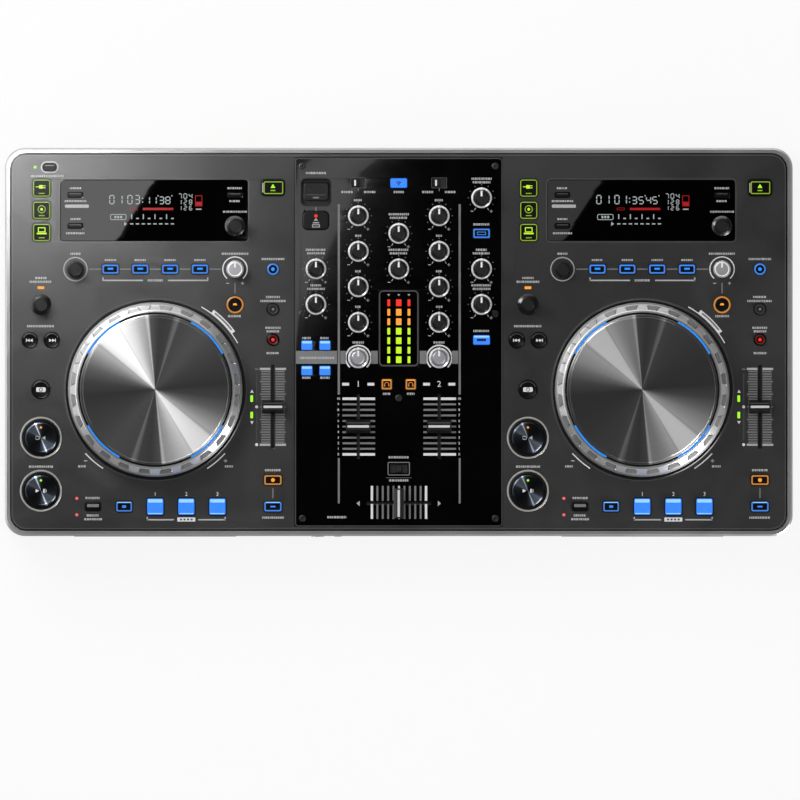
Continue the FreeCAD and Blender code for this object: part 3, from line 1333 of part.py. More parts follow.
def sockets(cutting=False):
    """Every socket in the walls, or the holes that they need."""
    made = [placed(jack(JACK_NOSE_RADIUS, 0, JACK_BORE_RADIUS, JACK_BODY_LENGTH, cutting),
                   PHONES_X, FRONT_FACE, PHONES_Z, True)]
    made.append(placed(jack(MINI_NOSE_RADIUS, 0, MINI_BORE_RADIUS, MINI_BODY_LENGTH, cutting),
                       PHONES_X + PHONES_PITCH, FRONT_FACE, PHONES_Z, True))
    x = -CASE_WIDTH / 2 + BAY_TO_SIDE + MAINS_WIDTH
    made.append(placed(mains_inlet(cutting), x, REAR_FACE, SOCKET_Z))
    made.append(placed(computer_socket(cutting), x + COMPUTER_TO_MAINS, REAR_FACE, SOCKET_Z))
    x = x + PHONO_TO_MAINS
    for index in range(PHONO_PAIRS):
        made.append(placed(phono_pair(cutting), x + index * PHONO_SPACING, REAR_FACE, SOCKET_Z))
    x = x + PHONO_PAIRS * PHONO_SPACING
    made.append(placed(jack(JACK_NOSE_RADIUS, JACK_NOSE_LENGTH, JACK_BORE_RADIUS, JACK_BODY_LENGTH,
                            cutting), x, REAR_FACE, SOCKET_Z))
    if not cutting:
        made.append(stick_port())
    return made


def balanced_outputs(cutting=False):
    """Left and right balanced output, beside the last of the other sockets."""
    x = -CASE_WIDTH / 2 + BAY_TO_SIDE + MAINS_WIDTH + PHONO_TO_MAINS + PHONO_PAIRS * PHONO_SPACING
    return [placed(balanced_socket(cutting), x + step * BALANCED_PITCH, REAR_FACE, SOCKET_Z)
            for step in (1, 2)]


# Every node

def build():
    nodes = {
        "lower_case": lower_case(),
        "top_panel": top_panel(),
        "mixer_plate": mixer_plate(),
        "display_windows": display_windows(),
        "indicator_lights": indicator_lights(),
        "feet": feet(),
        "screws": screws(),
        "circuit_boards": circuit_boards(),
        "disc_drives": disc_drives(),
        "sockets": group(sockets()),
        "balanced_outputs": group(balanced_outputs()),
        "jog_spindles": group([jog_spindle(deck_x) for deck_x in DECKS.values()]),
        "control_bodies": control_bodies(),
        "hot_cue_pads": pad_node(),
        "mixer_keys": mixer_key_node(),
        "standby_button": standby_button(),
        "port_cover": port_cover(),
    }
    for side, deck_x in DECKS.items():
        nodes["jog_ring_" + side] = jog_ring(deck_x)
        nodes["jog_plate_" + side] = jog_plate(deck_x)
        nodes["deck_keys_" + side] = deck_key_node(deck_x)
    nodes.update(mixer_knob_nodes())
    nodes.update(deck_rotary_nodes())
    nodes.update(fader_nodes())
    nodes.update(switch_nodes())
    nodes.update(transport_nodes())
    return nodes


for node, shape in build().items():
    shape.exportStep("parts/" + node + ".step")
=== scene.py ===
import math
import random
import bmesh
import bpy
from mathutils import Matrix


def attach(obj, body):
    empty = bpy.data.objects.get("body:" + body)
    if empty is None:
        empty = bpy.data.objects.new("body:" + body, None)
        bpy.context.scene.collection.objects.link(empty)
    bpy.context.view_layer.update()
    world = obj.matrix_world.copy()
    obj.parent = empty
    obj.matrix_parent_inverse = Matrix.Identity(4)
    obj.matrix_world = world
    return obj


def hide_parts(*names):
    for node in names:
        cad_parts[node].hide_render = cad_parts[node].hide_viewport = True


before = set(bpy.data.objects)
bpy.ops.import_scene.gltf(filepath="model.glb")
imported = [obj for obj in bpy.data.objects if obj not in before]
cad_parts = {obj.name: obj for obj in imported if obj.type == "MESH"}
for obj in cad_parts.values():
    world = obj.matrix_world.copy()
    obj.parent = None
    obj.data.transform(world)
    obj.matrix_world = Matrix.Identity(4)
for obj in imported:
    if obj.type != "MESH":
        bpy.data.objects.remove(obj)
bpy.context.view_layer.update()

# Lengths are in millimetres until a piece is finished. X runs right, Y to the rear and Z up.
MM = 0.001
PANEL = 80.0
PLATE = 80.3
GLASS = 80.2
KEY_FOOT = 73.0
KEY_TOP = 81.6
KEY_GAP = 0.3
PRINT = 0.06
SEAM_Z = 69.5
DECKS = {"left": -192.6, "right": 192.6}
JOG_Y = -37.7
COLUMN_X = 93.1
LOOP_X = -90.4
KNOB_X = 63.1
EFFECT_Y = 57.6
LOOP_KNOB_Y = 29.7
UPPER_Y = 116.25
LOWER_Y = 91.75
PAD_Y = -130.2
WINDOW_X = -0.8
WINDOW_Y = 104.0
FULL = 2 * math.pi


# Node trees

class Graph:
    """A node tree and a short way to add nodes to it."""

    def __init__(self, tree):
        self.tree = tree

    def node(self, kind, inputs=None, **settings):
        node = self.tree.nodes.new(kind)
        for key, value in settings.items():
            setattr(node, key, value)
        for key, value in (inputs or {}).items():
            if isinstance(value, bpy.types.NodeSocket):
                self.tree.links.new(value, node.inputs[key])
            else:
                node.inputs[key].default_value = value
        return node

    def maths(self, operation, first, second=0.0, third=0.0):
        values = {0: first, 1: second, 2: third}
        return self.node("ShaderNodeMath", values, operation=operation).outputs[0]

    def scaled(self, value, low, high, start=0.0, end=1.0):
        values = {"Value": value, "From Min": start, "From Max": end, "To Min": low, "To Max": high}
        return self.node("ShaderNodeMapRange", values).outputs[0]

    def blend(self, factor, first, second):
        mix = self.node("ShaderNodeMix", data_type="RGBA")
        for index, value in ((0, factor), (6, first), (7, second)):
            if isinstance(value, bpy.types.NodeSocket):
                self.tree.links.new(value, mix.inputs[index])
            else:
                mix.inputs[index].default_value = value
        return mix.outputs[2]


def new_group(name, inputs, outputs):
    """Empty node group with number inputs and number outputs."""
    tree = bpy.data.node_groups.new(name, "ShaderNodeTree")
    for label, value in inputs.items():
        tree.interface.new_socket(label, in_out="INPUT", socket_type="NodeSocketFloat").default_value = value
    for label, kind in outputs.items():
        tree.interface.new_socket(label, in_out="OUTPUT", socket_type=kind)
    return Graph(tree)


def grain_group():
    """Fine sprayed or moulded grain over broad soft patches."""
    g = new_group("surface_grain", {"Scale": 1500.0, "Patch Scale": 30.0},
                  {"Shade": "NodeSocketFloat", "Height": "NodeSocketFloat"})
    given = g.node("NodeGroupInput")
    place = g.node("ShaderNodeTexCoord").outputs["Object"]
    fine = g.node("ShaderNodeTexNoise", {"Vector": place, "Scale": given.outputs["Scale"],
                                         "Detail": 2.0, "Roughness": 0.6}).outputs[0]
    broad = g.node("ShaderNodeTexNoise", {"Vector": place, "Scale": given.outputs["Patch Scale"],
                                          "Detail": 3.0}).outputs[0]
    shade = g.maths("MULTIPLY_ADD", broad, 0.5, g.maths("MULTIPLY", fine, 0.5))
    g.node("NodeGroupOutput", {"Shade": g.scaled(shade, 0.0, 1.0, 0.25, 0.75), "Height": fine})
    return g.tree


def handling_group():
    """Faint smears left by hands and a little dust on faces that look up."""
    g = new_group("handling_marks", {"Smear Scale": 14.0, "Dust Scale": 900.0},
                  {"Smear": "NodeSocketFloat", "Dust": "NodeSocketFloat"})
    given = g.node("NodeGroupInput")
    place = g.node("ShaderNodeTexCoord").outputs["Object"]
    smear = g.node("ShaderNodeTexNoise", {"Vector": place, "Scale": given.outputs["Smear Scale"],
                                          "Detail": 5.0, "Distortion": 1.5}).outputs[0]
    specks = g.node("ShaderNodeTexNoise", {"Vector": place, "Scale": given.outputs["Dust Scale"],
                                           "Detail": 1.0}).outputs[0]
    up = g.node("ShaderNodeSeparateXYZ", {0: g.node("ShaderNodeNewGeometry").outputs["Normal"]}).outputs[2]
    dust = g.maths("MULTIPLY", g.scaled(specks, 0.0, 1.0, 0.66, 0.8), g.scaled(up, 0.0, 1.0, 0.5, 1.0))
    g.node("NodeGroupOutput", {"Smear": g.scaled(smear, 0.0, 1.0, 0.3, 0.7), "Dust": dust})
    return g.tree


# Directions in degrees round half a turn, and how bright turned metal is painted there: a painted reflection
# of bright and dark streaks in its base colour
PAINTED_STREAKS = ((0.0, 0.3), (5.0, 0.26), (30.0, 0.36), (50.0, 0.42), (70.0, 0.4), (72.0, 0.8), (74.0, 0.66),
           (76.5, 0.34), (86.0, 0.26), (94.6, 0.3), (95.6, 1.0), (97.2, 1.0), (98.2, 0.66), (104.0, 0.6),
           (112.0, 0.62), (119.0, 0.66), (120.6, 0.54), (121.4, 0.86), (139.0, 0.82), (141.5, 0.5),
           (143.0, 0.58), (157.0, 0.5), (161.0, 0.44), (169.0, 0.38), (173.0, 0.32), (180.0, 0.3))
BUTTON_PAINTED_STREAKS = ((0.0, 0.16), (40.0, 0.1), (84.0, 0.12), (103.0, 0.24), (108.5, 0.5), (110.5, 1.0),
                  (114.0, 1.0), (116.0, 0.5), (121.0, 0.28), (140.0, 0.3), (150.0, 0.36), (162.0, 0.2),
                  (180.0, 0.16))


def level_ramp(g, value, stops):
    """Brightness that follows a value through a list of places and levels."""
    ramp = g.node("ShaderNodeValToRGB", {0: value})
    points = ramp.color_ramp.elements
    points[1].position = stops[-1][0]
    points[1].color = (stops[-1][1],) * 3 + (1.0,)
    points[0].position = stops[0][0]
    points[0].color = (stops[0][1],) * 3 + (1.0,)
    for spot, level in stops[1:-1]:
        points.new(spot).color = (level, level, level, 1.0)
    return ramp.outputs[0]


def turned_group(name, painted_streaks):
    """Fine rings cut by a lathe round an upright axis, and a painted reflection: a fan of bright streaks set
    by the direction round the centre.
    """
    g = new_group(name, {"Centre X": 0.0, "Centre Y": 0.0, "Pitch": 0.0004},
                  {"Shade": "NodeSocketFloat", "Painted Streak": "NodeSocketFloat"})
    given = g.node("NodeGroupInput")
    place = g.node("ShaderNodeSeparateXYZ", {0: g.node("ShaderNodeTexCoord").outputs["Object"]})
    x = g.maths("SUBTRACT", place.outputs[0], given.outputs["Centre X"])
    y = g.maths("SUBTRACT", place.outputs[1], given.outputs["Centre Y"])
    radius = g.maths("SQRT", g.maths("MULTIPLY_ADD", x, x, g.maths("MULTIPLY", y, y)))
    angle = g.maths("ARCTAN2", y, x)
    track = g.node("ShaderNodeCombineXYZ", {0: g.maths("DIVIDE", radius, given.outputs["Pitch"]),
                                            1: g.maths("MULTIPLY", angle, 0.25)}).outputs[0]
    rings = g.node("ShaderNodeTexNoise", {"Vector": track, "Scale": 1.0, "Detail": 2.0}).outputs[0]
    half_turn = g.maths("FRACT", g.maths("DIVIDE", g.maths("ADD", angle, FULL), math.pi))
    # Painted reflection: brightness by direction round the centre, fixed to the metal rather than to the
    # lamps.
    painted_streak = level_ramp(g, half_turn, [(degrees / 180, level) for degrees, level in painted_streaks])
    g.node("NodeGroupOutput", {"Shade": g.scaled(rings, 0.0, 1.0, 0.15, 0.85), "Painted Streak": painted_streak})
    return g.tree


GROUPS = {"grain": grain_group(), "handling": handling_group(),
          "turned": turned_group("turned_rings_and_painted_streaks", PAINTED_STREAKS),
          "button": turned_group("button_rings_and_painted_streaks", BUTTON_PAINTED_STREAKS)}
FINISHES = {}


def linear(*colour):
    """Colour as it is seen, made into the numbers that a shader takes."""
    if len(colour) == 1:
        colour = colour * 3
    return tuple(c / 12.92 if c < 0.04045 else ((c + 0.055) / 1.055) ** 2.4 for c in colour) + (1.0,)


def mixed_tones(colour, spread):
    """Darker and lighter neighbour of a colour."""
    return (tuple(c * (1 - spread) for c in colour[:3]) + (1.0,),
            tuple(min(1.0, c * (1 + spread)) for c in colour[:3]) + (1.0,))


def new_finish(name):
    """New material with its surface shader, under a finish name."""
    material = bpy.data.materials.new(name)
    material.use_nodes = True
    FINISHES[name] = material
    g = Graph(material.node_tree)
    return g, material.node_tree.nodes["Principled BSDF"]


def use_group(g, name, **values):
    node = g.node("ShaderNodeGroup", node_tree=GROUPS[name])
    for key, value in values.items():
        node.inputs[key.replace("_", " ").title()].default_value = value
    return node


def solid_finish(name, colour, roughness, metallic=0.0, spread=0.1, scale=1500.0, depth=0.2,
                 smear=0.06, dust=0.05, coat=0.0, specular=0.5):
    """Paint, plastic, rubber or plain metal with grain, smears and a trace of dust."""
    g, shader = new_finish(name)
    grain = use_group(g, "grain", scale=scale)
    marks = use_group(g, "handling")
    dark, light = mixed_tones(linear(*colour), spread)
    tone = g.blend(grain.outputs["Shade"], dark, light)
    dusty = g.maths("MULTIPLY", marks.outputs["Dust"], dust)
    link = g.tree.links.new
    link(g.blend(dusty, tone, linear(0.62, 0.6, 0.57)), shader.inputs["Base Color"])
    link(g.scaled(marks.outputs["Smear"], roughness - smear, roughness + smear), shader.inputs["Roughness"])
    shader.inputs["Metallic"].default_value = metallic
    shader.inputs["Coat Weight"].default_value = coat
    shader.inputs["Specular IOR Level"].default_value = specular
    bump = g.node("ShaderNodeBump", {"Height": grain.outputs["Height"], "Strength": depth,
                                     "Distance": 0.0001})
    link(bump.outputs[0], shader.inputs["Normal"])
    return g, shader


def lit_finish(name, colour, strength=1.0):
    """Lens, cap or print that is lit from behind, a little uneven over its face."""
    g, shader = new_finish(name)
    grain = use_group(g, "grain", scale=700.0, patch_scale=260.0)
    dark, light = mixed_tones(linear(*colour), 0.08)
    tone = g.blend(grain.outputs["Shade"], dark, light)
    g.tree.links.new(tone, shader.inputs["Emission Color"])
    g.tree.links.new(g.blend(0.25, (0.0, 0.0, 0.0, 1.0), tone), shader.inputs["Base Color"])
    g.tree.links.new(g.scaled(grain.outputs["Shade"], 0.2, 0.3), shader.inputs["Roughness"])
    shader.inputs["Emission Strength"].default_value = strength


def turned_finish(name, centre, colour, roughness, anisotropic, spread=0.08, pitch=0.0004, metallic=1.0,
                  painted_streak_contrast=0.0, kind="turned"):
    """Metal turned on a lathe, with its rings round one centre and its gloss drawn out across them, and with
    a streak contrast a painted reflection: a fan of streaks darkening its base colour.
    """
    g, shader = new_finish(name)
    rings = use_group(g, kind, centre_x=centre[0] * MM, centre_y=centre[1] * MM, pitch=pitch)
    dark, light = mixed_tones(linear(*colour), spread)
    tone = g.blend(rings.outputs["Shade"], dark, light)
    # Painted reflection: the streak fan darkens the base colour between the bright streaks.
    if painted_streak_contrast:
        painted_fan = g.maths("POWER", rings.outputs["Painted Streak"], painted_streak_contrast)
        tone = g.blend(painted_fan, (0.0, 0.0, 0.0, 1.0), tone)
    link = g.tree.links.new
    link(tone, shader.inputs["Base Color"])
    link(g.scaled(rings.outputs["Shade"], roughness * 0.97, roughness * 1.03), shader.inputs["Roughness"])
    middle = (centre[0] * MM, centre[1] * MM, 0.0)
    place = g.node("ShaderNodeTexCoord").outputs["Object"]
    across = g.node("ShaderNodeVectorMath", {0: place, 1: middle}, operation="SUBTRACT").outputs[0]
    across = g.node("ShaderNodeVectorMath", {0: across, 1: (1.0, 1.0, 0.0)}, operation="MULTIPLY").outputs[0]
    across = g.node("ShaderNodeVectorTransform", {0: across}, vector_type="VECTOR",
                    convert_from="OBJECT", convert_to="WORLD").outputs[0]
    across = g.node("ShaderNodeVectorMath", {0: across}, operation="NORMALIZE").outputs[0]
    link(across, shader.inputs["Tangent"])
    shader.inputs["Metallic"].default_value = metallic
    shader.inputs["Anisotropic"].default_value = anisotropic


def case_finish():
    """Silver paint with the hairline seam between the upper and the lower shell."""
    g, shader = solid_finish("case_paint", (0.62,), 0.36, 0.75, spread=0.07, scale=2600.0, depth=0.12)
    height = g.node("ShaderNodeSeparateXYZ", {0: g.node("ShaderNodeTexCoord").outputs["Object"]}).outputs[2]
    seam = g.maths("COMPARE", height, SEAM_Z * MM, 0.0003)
    paint = shader.inputs["Base Color"].links[0].from_socket
    g.tree.links.new(g.blend(seam, paint, linear(0.12)), shader.inputs["Base Color"])


def build_finishes():
    case_finish()
    solid_finish("panel_paint", (0.06, 0.06, 0.062), 0.4, 0.1, spread=0.1, scale=1700.0, depth=0.3,
                 specular=1.0)
    # Lighter grey line that stands in for the gloss on a bevelled edge: a painted highlight.
    solid_finish("painted_edge_highlight", (0.34,), 0.4, 0.5, spread=0.1, scale=1700.0, depth=0.1)
    # Near-black for shade in gaps, holes and slots: painted shade.
    solid_finish("painted_gap_shade", (0.05,), 0.6, spread=0.15, scale=1700.0, specular=0.2)
    solid_finish("plate_gloss", (0.008,), 0.11, spread=0.25, depth=0.0, smear=0.02, dust=0.01, coat=0.6)
    solid_finish("glass_smoke", (0.01,), 0.05, spread=0.2, depth=0.0, smear=0.01, dust=0.0, coat=1.0)
    solid_finish("step_black", (0.04,), 0.3, spread=0.15, scale=1200.0, specular=0.3)
    solid_finish("key_black", (0.035,), 0.26, spread=0.15, scale=1100.0, specular=0.2)
    solid_finish("key_edge", (0.2,), 0.4, spread=0.12, scale=1100.0)
    solid_finish("knob_black", (0.045,), 0.42, spread=0.15, scale=900.0, depth=0.35, specular=0.2)
    solid_finish("knob_face", (0.11,), 0.5, spread=0.1, scale=1300.0, depth=0.35, specular=0.15)
    solid_finish("knob_ring", (0.93,), 0.3, 0.15, spread=0.04, scale=1500.0, depth=0.05)
    solid_finish("knob_grey", (0.62, 0.62, 0.64), 0.42, 0.5, spread=0.12, scale=1300.0, depth=0.3)
    solid_finish("pointer_white", (0.93,), 0.4, spread=0.04, scale=900.0, depth=0.1)
    solid_finish("fader_line", (0.8,), 0.4, spread=0.05, scale=900.0, depth=0.1)
    solid_finish("phono_red", (0.66, 0.07, 0.07), 0.4, spread=0.08, scale=900.0, depth=0.1)
    solid_finish("print_white", (0.86,), 0.5, spread=0.06, scale=2500.0, depth=0.1)
    solid_finish("print_pale", (0.66,), 0.5, spread=0.08, scale=2500.0, depth=0.1)
    solid_finish("print_grey", (0.44,), 0.5, spread=0.1, scale=2500.0, depth=0.1)
    # Dim grey for print, and for painted highlights along edges.
    solid_finish("dim_print_and_painted_highlight", (0.25,), 0.5, spread=0.12, scale=2500.0, depth=0.1)
    # Black for print, and for painted shade round keys and in screw heads.
    solid_finish("black_print_and_painted_shade", (0.03,), 0.4, spread=0.2, scale=2000.0, depth=0.1)
    solid_finish("flap_black", (0.09,), 0.3, spread=0.15, scale=1200.0)
    solid_finish("collar_black", (0.03,), 0.25, spread=0.2, scale=1500.0)
    solid_finish("ring_grey", (0.66, 0.65, 0.63), 0.35, 0.3, spread=0.06, scale=1500.0, depth=0.05)
    # Darker matt grey for the dimple floors: painted shade in the recesses, with a matt finish.
    solid_finish("dimple_matt_and_painted_shade", (0.5,), 0.42, 0.7, spread=0.1, scale=1800.0, depth=0.2)
    solid_finish("fader_black", (0.05,), 0.36, spread=0.12, scale=1300.0, depth=0.25, specular=0.3)
    # Lighter grey on one slope of a fader cap: a painted highlight.
    solid_finish("painted_slope_highlight", (0.24,), 0.42, spread=0.1, scale=1300.0, depth=0.25)
    solid_finish("foot_rubber", (0.09,), 0.75, spread=0.2, scale=800.0, depth=0.5)
    solid_finish("screw_steel", (0.22,), 0.4, 0.7, spread=0.1, scale=2500.0)
    solid_finish("board_green", (0.06, 0.26, 0.14), 0.35, spread=0.2, scale=600.0)
    solid_finish("drive_dark", (0.16,), 0.4, 0.6, spread=0.15, scale=1200.0)
    solid_finish("socket_black", (0.07,), 0.4, spread=0.15, scale=1200.0)
    solid_finish("carrier_steel", (0.3,), 0.35, 0.9, spread=0.12, scale=1500.0)
    solid_finish("spindle_steel", (0.55,), 0.3, 1.0, spread=0.08, scale=1500.0)
    solid_finish("contact_gold", (0.83, 0.66, 0.32), 0.28, 1.0, spread=0.06, scale=1500.0)
    solid_finish("contact_steel", (0.7,), 0.25, 1.0, spread=0.06, scale=1500.0)
    lit_finish("lit_blue", (0.2, 0.5, 0.96))
    # Pale glow for the brighter strips along key edges: painted highlight.
    lit_finish("lit_sky_painted_highlight", (0.55, 0.78, 1.0))
    lit_finish("lit_deep", (0.25, 0.5, 0.86), 0.85)
    lit_finish("lit_night", (0.05, 0.12, 0.28), 0.8)
    lit_finish("lit_azure", (0.08, 0.55, 1.0))
    lit_finish("lit_lime", (0.72, 0.9, 0.1))
    lit_finish("lit_olive", (0.5, 0.62, 0.12))
    lit_finish("lit_green", (0.62, 0.95, 0.15))
    lit_finish("lit_orange", (0.95, 0.6, 0.2))
    lit_finish("lit_amber", (0.72, 0.47, 0.2))
    lit_finish("lit_red", (0.93, 0.16, 0.12))
    lit_finish("lit_rose", (0.88, 0.38, 0.36))
    lit_finish("lit_crimson", (0.6, 0.03, 0.04))
    lit_finish("lit_pale", (0.66, 0.69, 0.69), 0.75)
    for side, deck_x in DECKS.items():
        turned_finish("jog_silver_" + side, (deck_x, JOG_Y), (0.74,), 0.36, 0.7, spread=0.05, metallic=0.85)
        # The jog faces and the cue and play faces get painted reflection streaks in their base colour.
        turned_finish("jog_face_" + side, (deck_x, JOG_Y), (0.88,), 0.3, 0.9, spread=0.05, pitch=0.0005,
                      painted_streak_contrast=1.25)
        for name, (x, y) in TRANSPORT.items():
            turned_finish(name + "_face_" + side, (deck_x + x, y), (0.8, 0.86, 0.94), 0.28, 0.85,
                          spread=0.1, metallic=0.9, painted_streak_contrast=1.7, kind="button")


# Basic shapes, each made round the origin with its foot on z = 0

def bevelled(bm, edges, size, steps=2):
    if size > 0:
        bmesh.ops.bevel(bm, geom=edges, offset=size, offset_type="OFFSET", affect="EDGES",
                        segments=steps, profile=0.5, material=-1, clamp_overlap=True)


def softened(bm, size):
    """Round every sharp edge."""
    edges = [e for e in bm.edges if len(e.link_faces) == 2 and e.calc_face_angle() > 0.9]
    bevelled(bm, edges, size)
    return bm


def box(width, depth, height, corner=0.0, edge=0.0, corner_steps=4, edge_steps=2):
    """Upright block with round corners and a soft top edge."""
    bm = bmesh.new()
    bmesh.ops.create_cube(bm, size=1.0)
    bmesh.ops.scale(bm, vec=(width, depth, height), verts=bm.verts)
    bmesh.ops.translate(bm, vec=(0, 0, height / 2), verts=bm.verts)
    bevelled(bm, [e for e in bm.edges if abs(e.verts[0].co.z - e.verts[1].co.z) > height / 2],
             corner, corner_steps)
    bevelled(bm, [e for e in bm.edges if all(v.co.z > height * 0.999 for v in e.verts)], edge, edge_steps)
    return bm


def turned(profile, steps=48, closed=False):
    """Shape of radius and height pairs turned about the Z axis."""
    bm = bmesh.new()
    points = [bm.verts.new((radius, 0.0, height)) for radius, height in profile]
    pairs = list(zip(points, points[1:])) + ([(points[-1], points[0])] if closed else [])
    edges = [bm.edges.new(pair) for pair in pairs]
    bmesh.ops.spin(bm, geom=points + edges, cent=(0, 0, 0), axis=(0, 0, 1), angle=FULL, steps=steps,
                   use_merge=True, use_duplicate=False)
    bmesh.ops.remove_doubles(bm, verts=bm.verts, dist=1e-4)
    bmesh.ops.recalc_face_normals(bm, faces=bm.faces)
    return bm


def drawn_out(bm, way):
    """Draw a flat shape out along a line into a closed solid."""
    made = bmesh.ops.extrude_face_region(bm, geom=bm.faces[:])["geom"]
    bmesh.ops.translate(bm, vec=way, verts=[v for v in made if isinstance(v, bmesh.types.BMVert)])
    bmesh.ops.recalc_face_normals(bm, faces=bm.faces)
    return bm


def raised(bm, height):
    """Thicken a flat shape upwards into a closed solid."""
    return drawn_out(bm, (0, 0, height))


def rounded_face(width, depth, corner=0.0, steps=4):
    bm = bmesh.new()
    bmesh.ops.create_grid(bm, x_segments=1, y_segments=1, size=0.5)
    bmesh.ops.scale(bm, vec=(width, depth, 1), verts=bm.verts)
    if corner > 0:
        bmesh.ops.bevel(bm, geom=bm.verts[:], offset=corner, affect="VERTICES", segments=steps,
                        profile=0.5, material=-1)
    return bm


def bar(width, depth, corner=0.0, height=PRINT):
    return raised(rounded_face(width, depth, corner, 3), height)


def hoop(width, depth, line, corner=0.0, height=PRINT):
    """Flat frame with an even line."""
    bm = rounded_face(width, depth, corner)
    inner = bm.faces[:]
    bmesh.ops.inset_individual(bm, faces=inner, thickness=line, use_even_offset=True)
    bmesh.ops.delete(bm, geom=inner, context="FACES_ONLY")
    return raised(bm, height)


def dot(radius, height=PRINT):
    bm = bmesh.new()
    bmesh.ops.create_circle(bm, cap_ends=True, radius=radius, segments=20)
    return raised(bm, height)


def arc(inner, outer, start, end, height=PRINT, steps=24):
    """Flat strip that runs round the origin between two directions in degrees."""
    bm = bmesh.new()
    ends = [bm.verts.new((radius, 0.0, 0.0)) for radius in (inner, outer)]
    edge = bm.edges.new(ends)
    bmesh.ops.rotate(bm, verts=ends, cent=(0, 0, 0), matrix=Matrix.Rotation(math.radians(start), 3, "Z"))
    full = abs(end - start) > 359
    bmesh.ops.spin(bm, geom=ends + [edge], cent=(0, 0, 0), axis=(0, 0, 1),
                   angle=math.radians(end - start), steps=steps, use_merge=full, use_duplicate=False)
    return raised(bm, height)


def wedge(length, width):
    """Flat triangle that points along X."""
    bm = bmesh.new()
    bmesh.ops.create_circle(bm, cap_ends=True, radius=1.0, segments=3)
    bmesh.ops.rotate(bm, verts=bm.verts, cent=(0, 0, 0), matrix=Matrix.Rotation(-FULL / 4, 3, "Z"))
    wide = max(v.co.x for v in bm.verts) - min(v.co.x for v in bm.verts)
    tall = max(v.co.y for v in bm.verts) - min(v.co.y for v in bm.verts)
    bmesh.ops.scale(bm, vec=(length / wide, width / tall, 1), verts=bm.verts)
    return raised(bm, PRINT)


def curve_mesh(curve):
    """Mesh of a flat curve or of a figure."""
    holder = bpy.data.objects.new("outline", curve)
    mesh = bpy.data.meshes.new_from_object(holder)
    bm = bmesh.new()
    bm.from_mesh(mesh)
    bpy.data.objects.remove(holder)
    bpy.data.meshes.remove(mesh)
    bpy.data.curves.remove(curve)
    bmesh.ops.remove_doubles(bm, verts=bm.verts, dist=1e-4)
    return bm


def outline(curve, width, depth, corner, x, y, steps=6):
    """Add a closed rounded rectangle, or a circle where the corners meet, to a flat curve."""
    spline = curve.splines.new("BEZIER")
    spline.resolution_u = steps
    round_one = min(width, depth) <= 2 * corner + 1e-6 and abs(width - depth) < 1e-6
    if round_one:
        spline.bezier_points.add(3)
        for point, turn in zip(spline.bezier_points, range(4)):
            across, along = math.cos(turn * FULL / 4), math.sin(turn * FULL / 4)
            point.co = (x + corner * across, y + corner * along, 0)
            point.handle_left_type = point.handle_right_type = "AUTO"
    else:
        spline.bezier_points.add(7)
        points = iter(spline.bezier_points)
        reach = 0.4477 * corner
        for right, rear in ((1, 1), (-1, 1), (-1, -1), (1, -1)):
            side = (x + right * width / 2, y + rear * (depth / 2 - corner))
            end = (x + right * (width / 2 - corner), y + rear * depth / 2)
            side_pull = (side[0], side[1] + rear * (corner - reach))
            end_pull = (end[0] + right * (corner - reach), end[1])
            order = ((side, side_pull), (end, end_pull))
            if right * rear < 0:
                order = order[::-1]
            for first, (spot, pull) in zip((True, False), order):
                point = next(points)
                point.handle_left_type = point.handle_right_type = "FREE"
                point.co = spot + (0,)
                point.handle_right = (pull if first else spot) + (0,)
                point.handle_left = (spot if first else pull) + (0,)
                if first:
                    point.handle_left_type = "VECTOR"
                else:
                    point.handle_right_type = "VECTOR"
    spline.use_cyclic_u = True


def sheet(loops, thickness, edge):
    """Flat sheet: the first loop is its outline and the others are holes in it."""
    curve = bpy.data.curves.new("sheet", "CURVE")
    curve.dimensions = "2D"
    curve.fill_mode = "BOTH"
    for loop in loops:
        outline(curve, *loop)
    curve.extrude = thickness / 2 - edge
    curve.bevel_depth = edge
    curve.bevel_resolution = 1
    curve.offset = -edge
    bm = curve_mesh(curve)
    bmesh.ops.translate(bm, vec=(0, 0, thickness / 2), verts=bm.verts)
    return bm


def figure(text, size):
    """Number as a thin raised print."""
    curve = bpy.data.curves.new("figure", "FONT")
    curve.body = text
    curve.size = size
    curve.align_x = "CENTER"
    curve.align_y = "CENTER"
    curve.extrude = PRINT / 2
    curve.resolution_u = 2
    bm = curve_mesh(curve)
    bmesh.ops.translate(bm, vec=(0, 0, PRINT / 2), verts=bm.verts)
    return bm


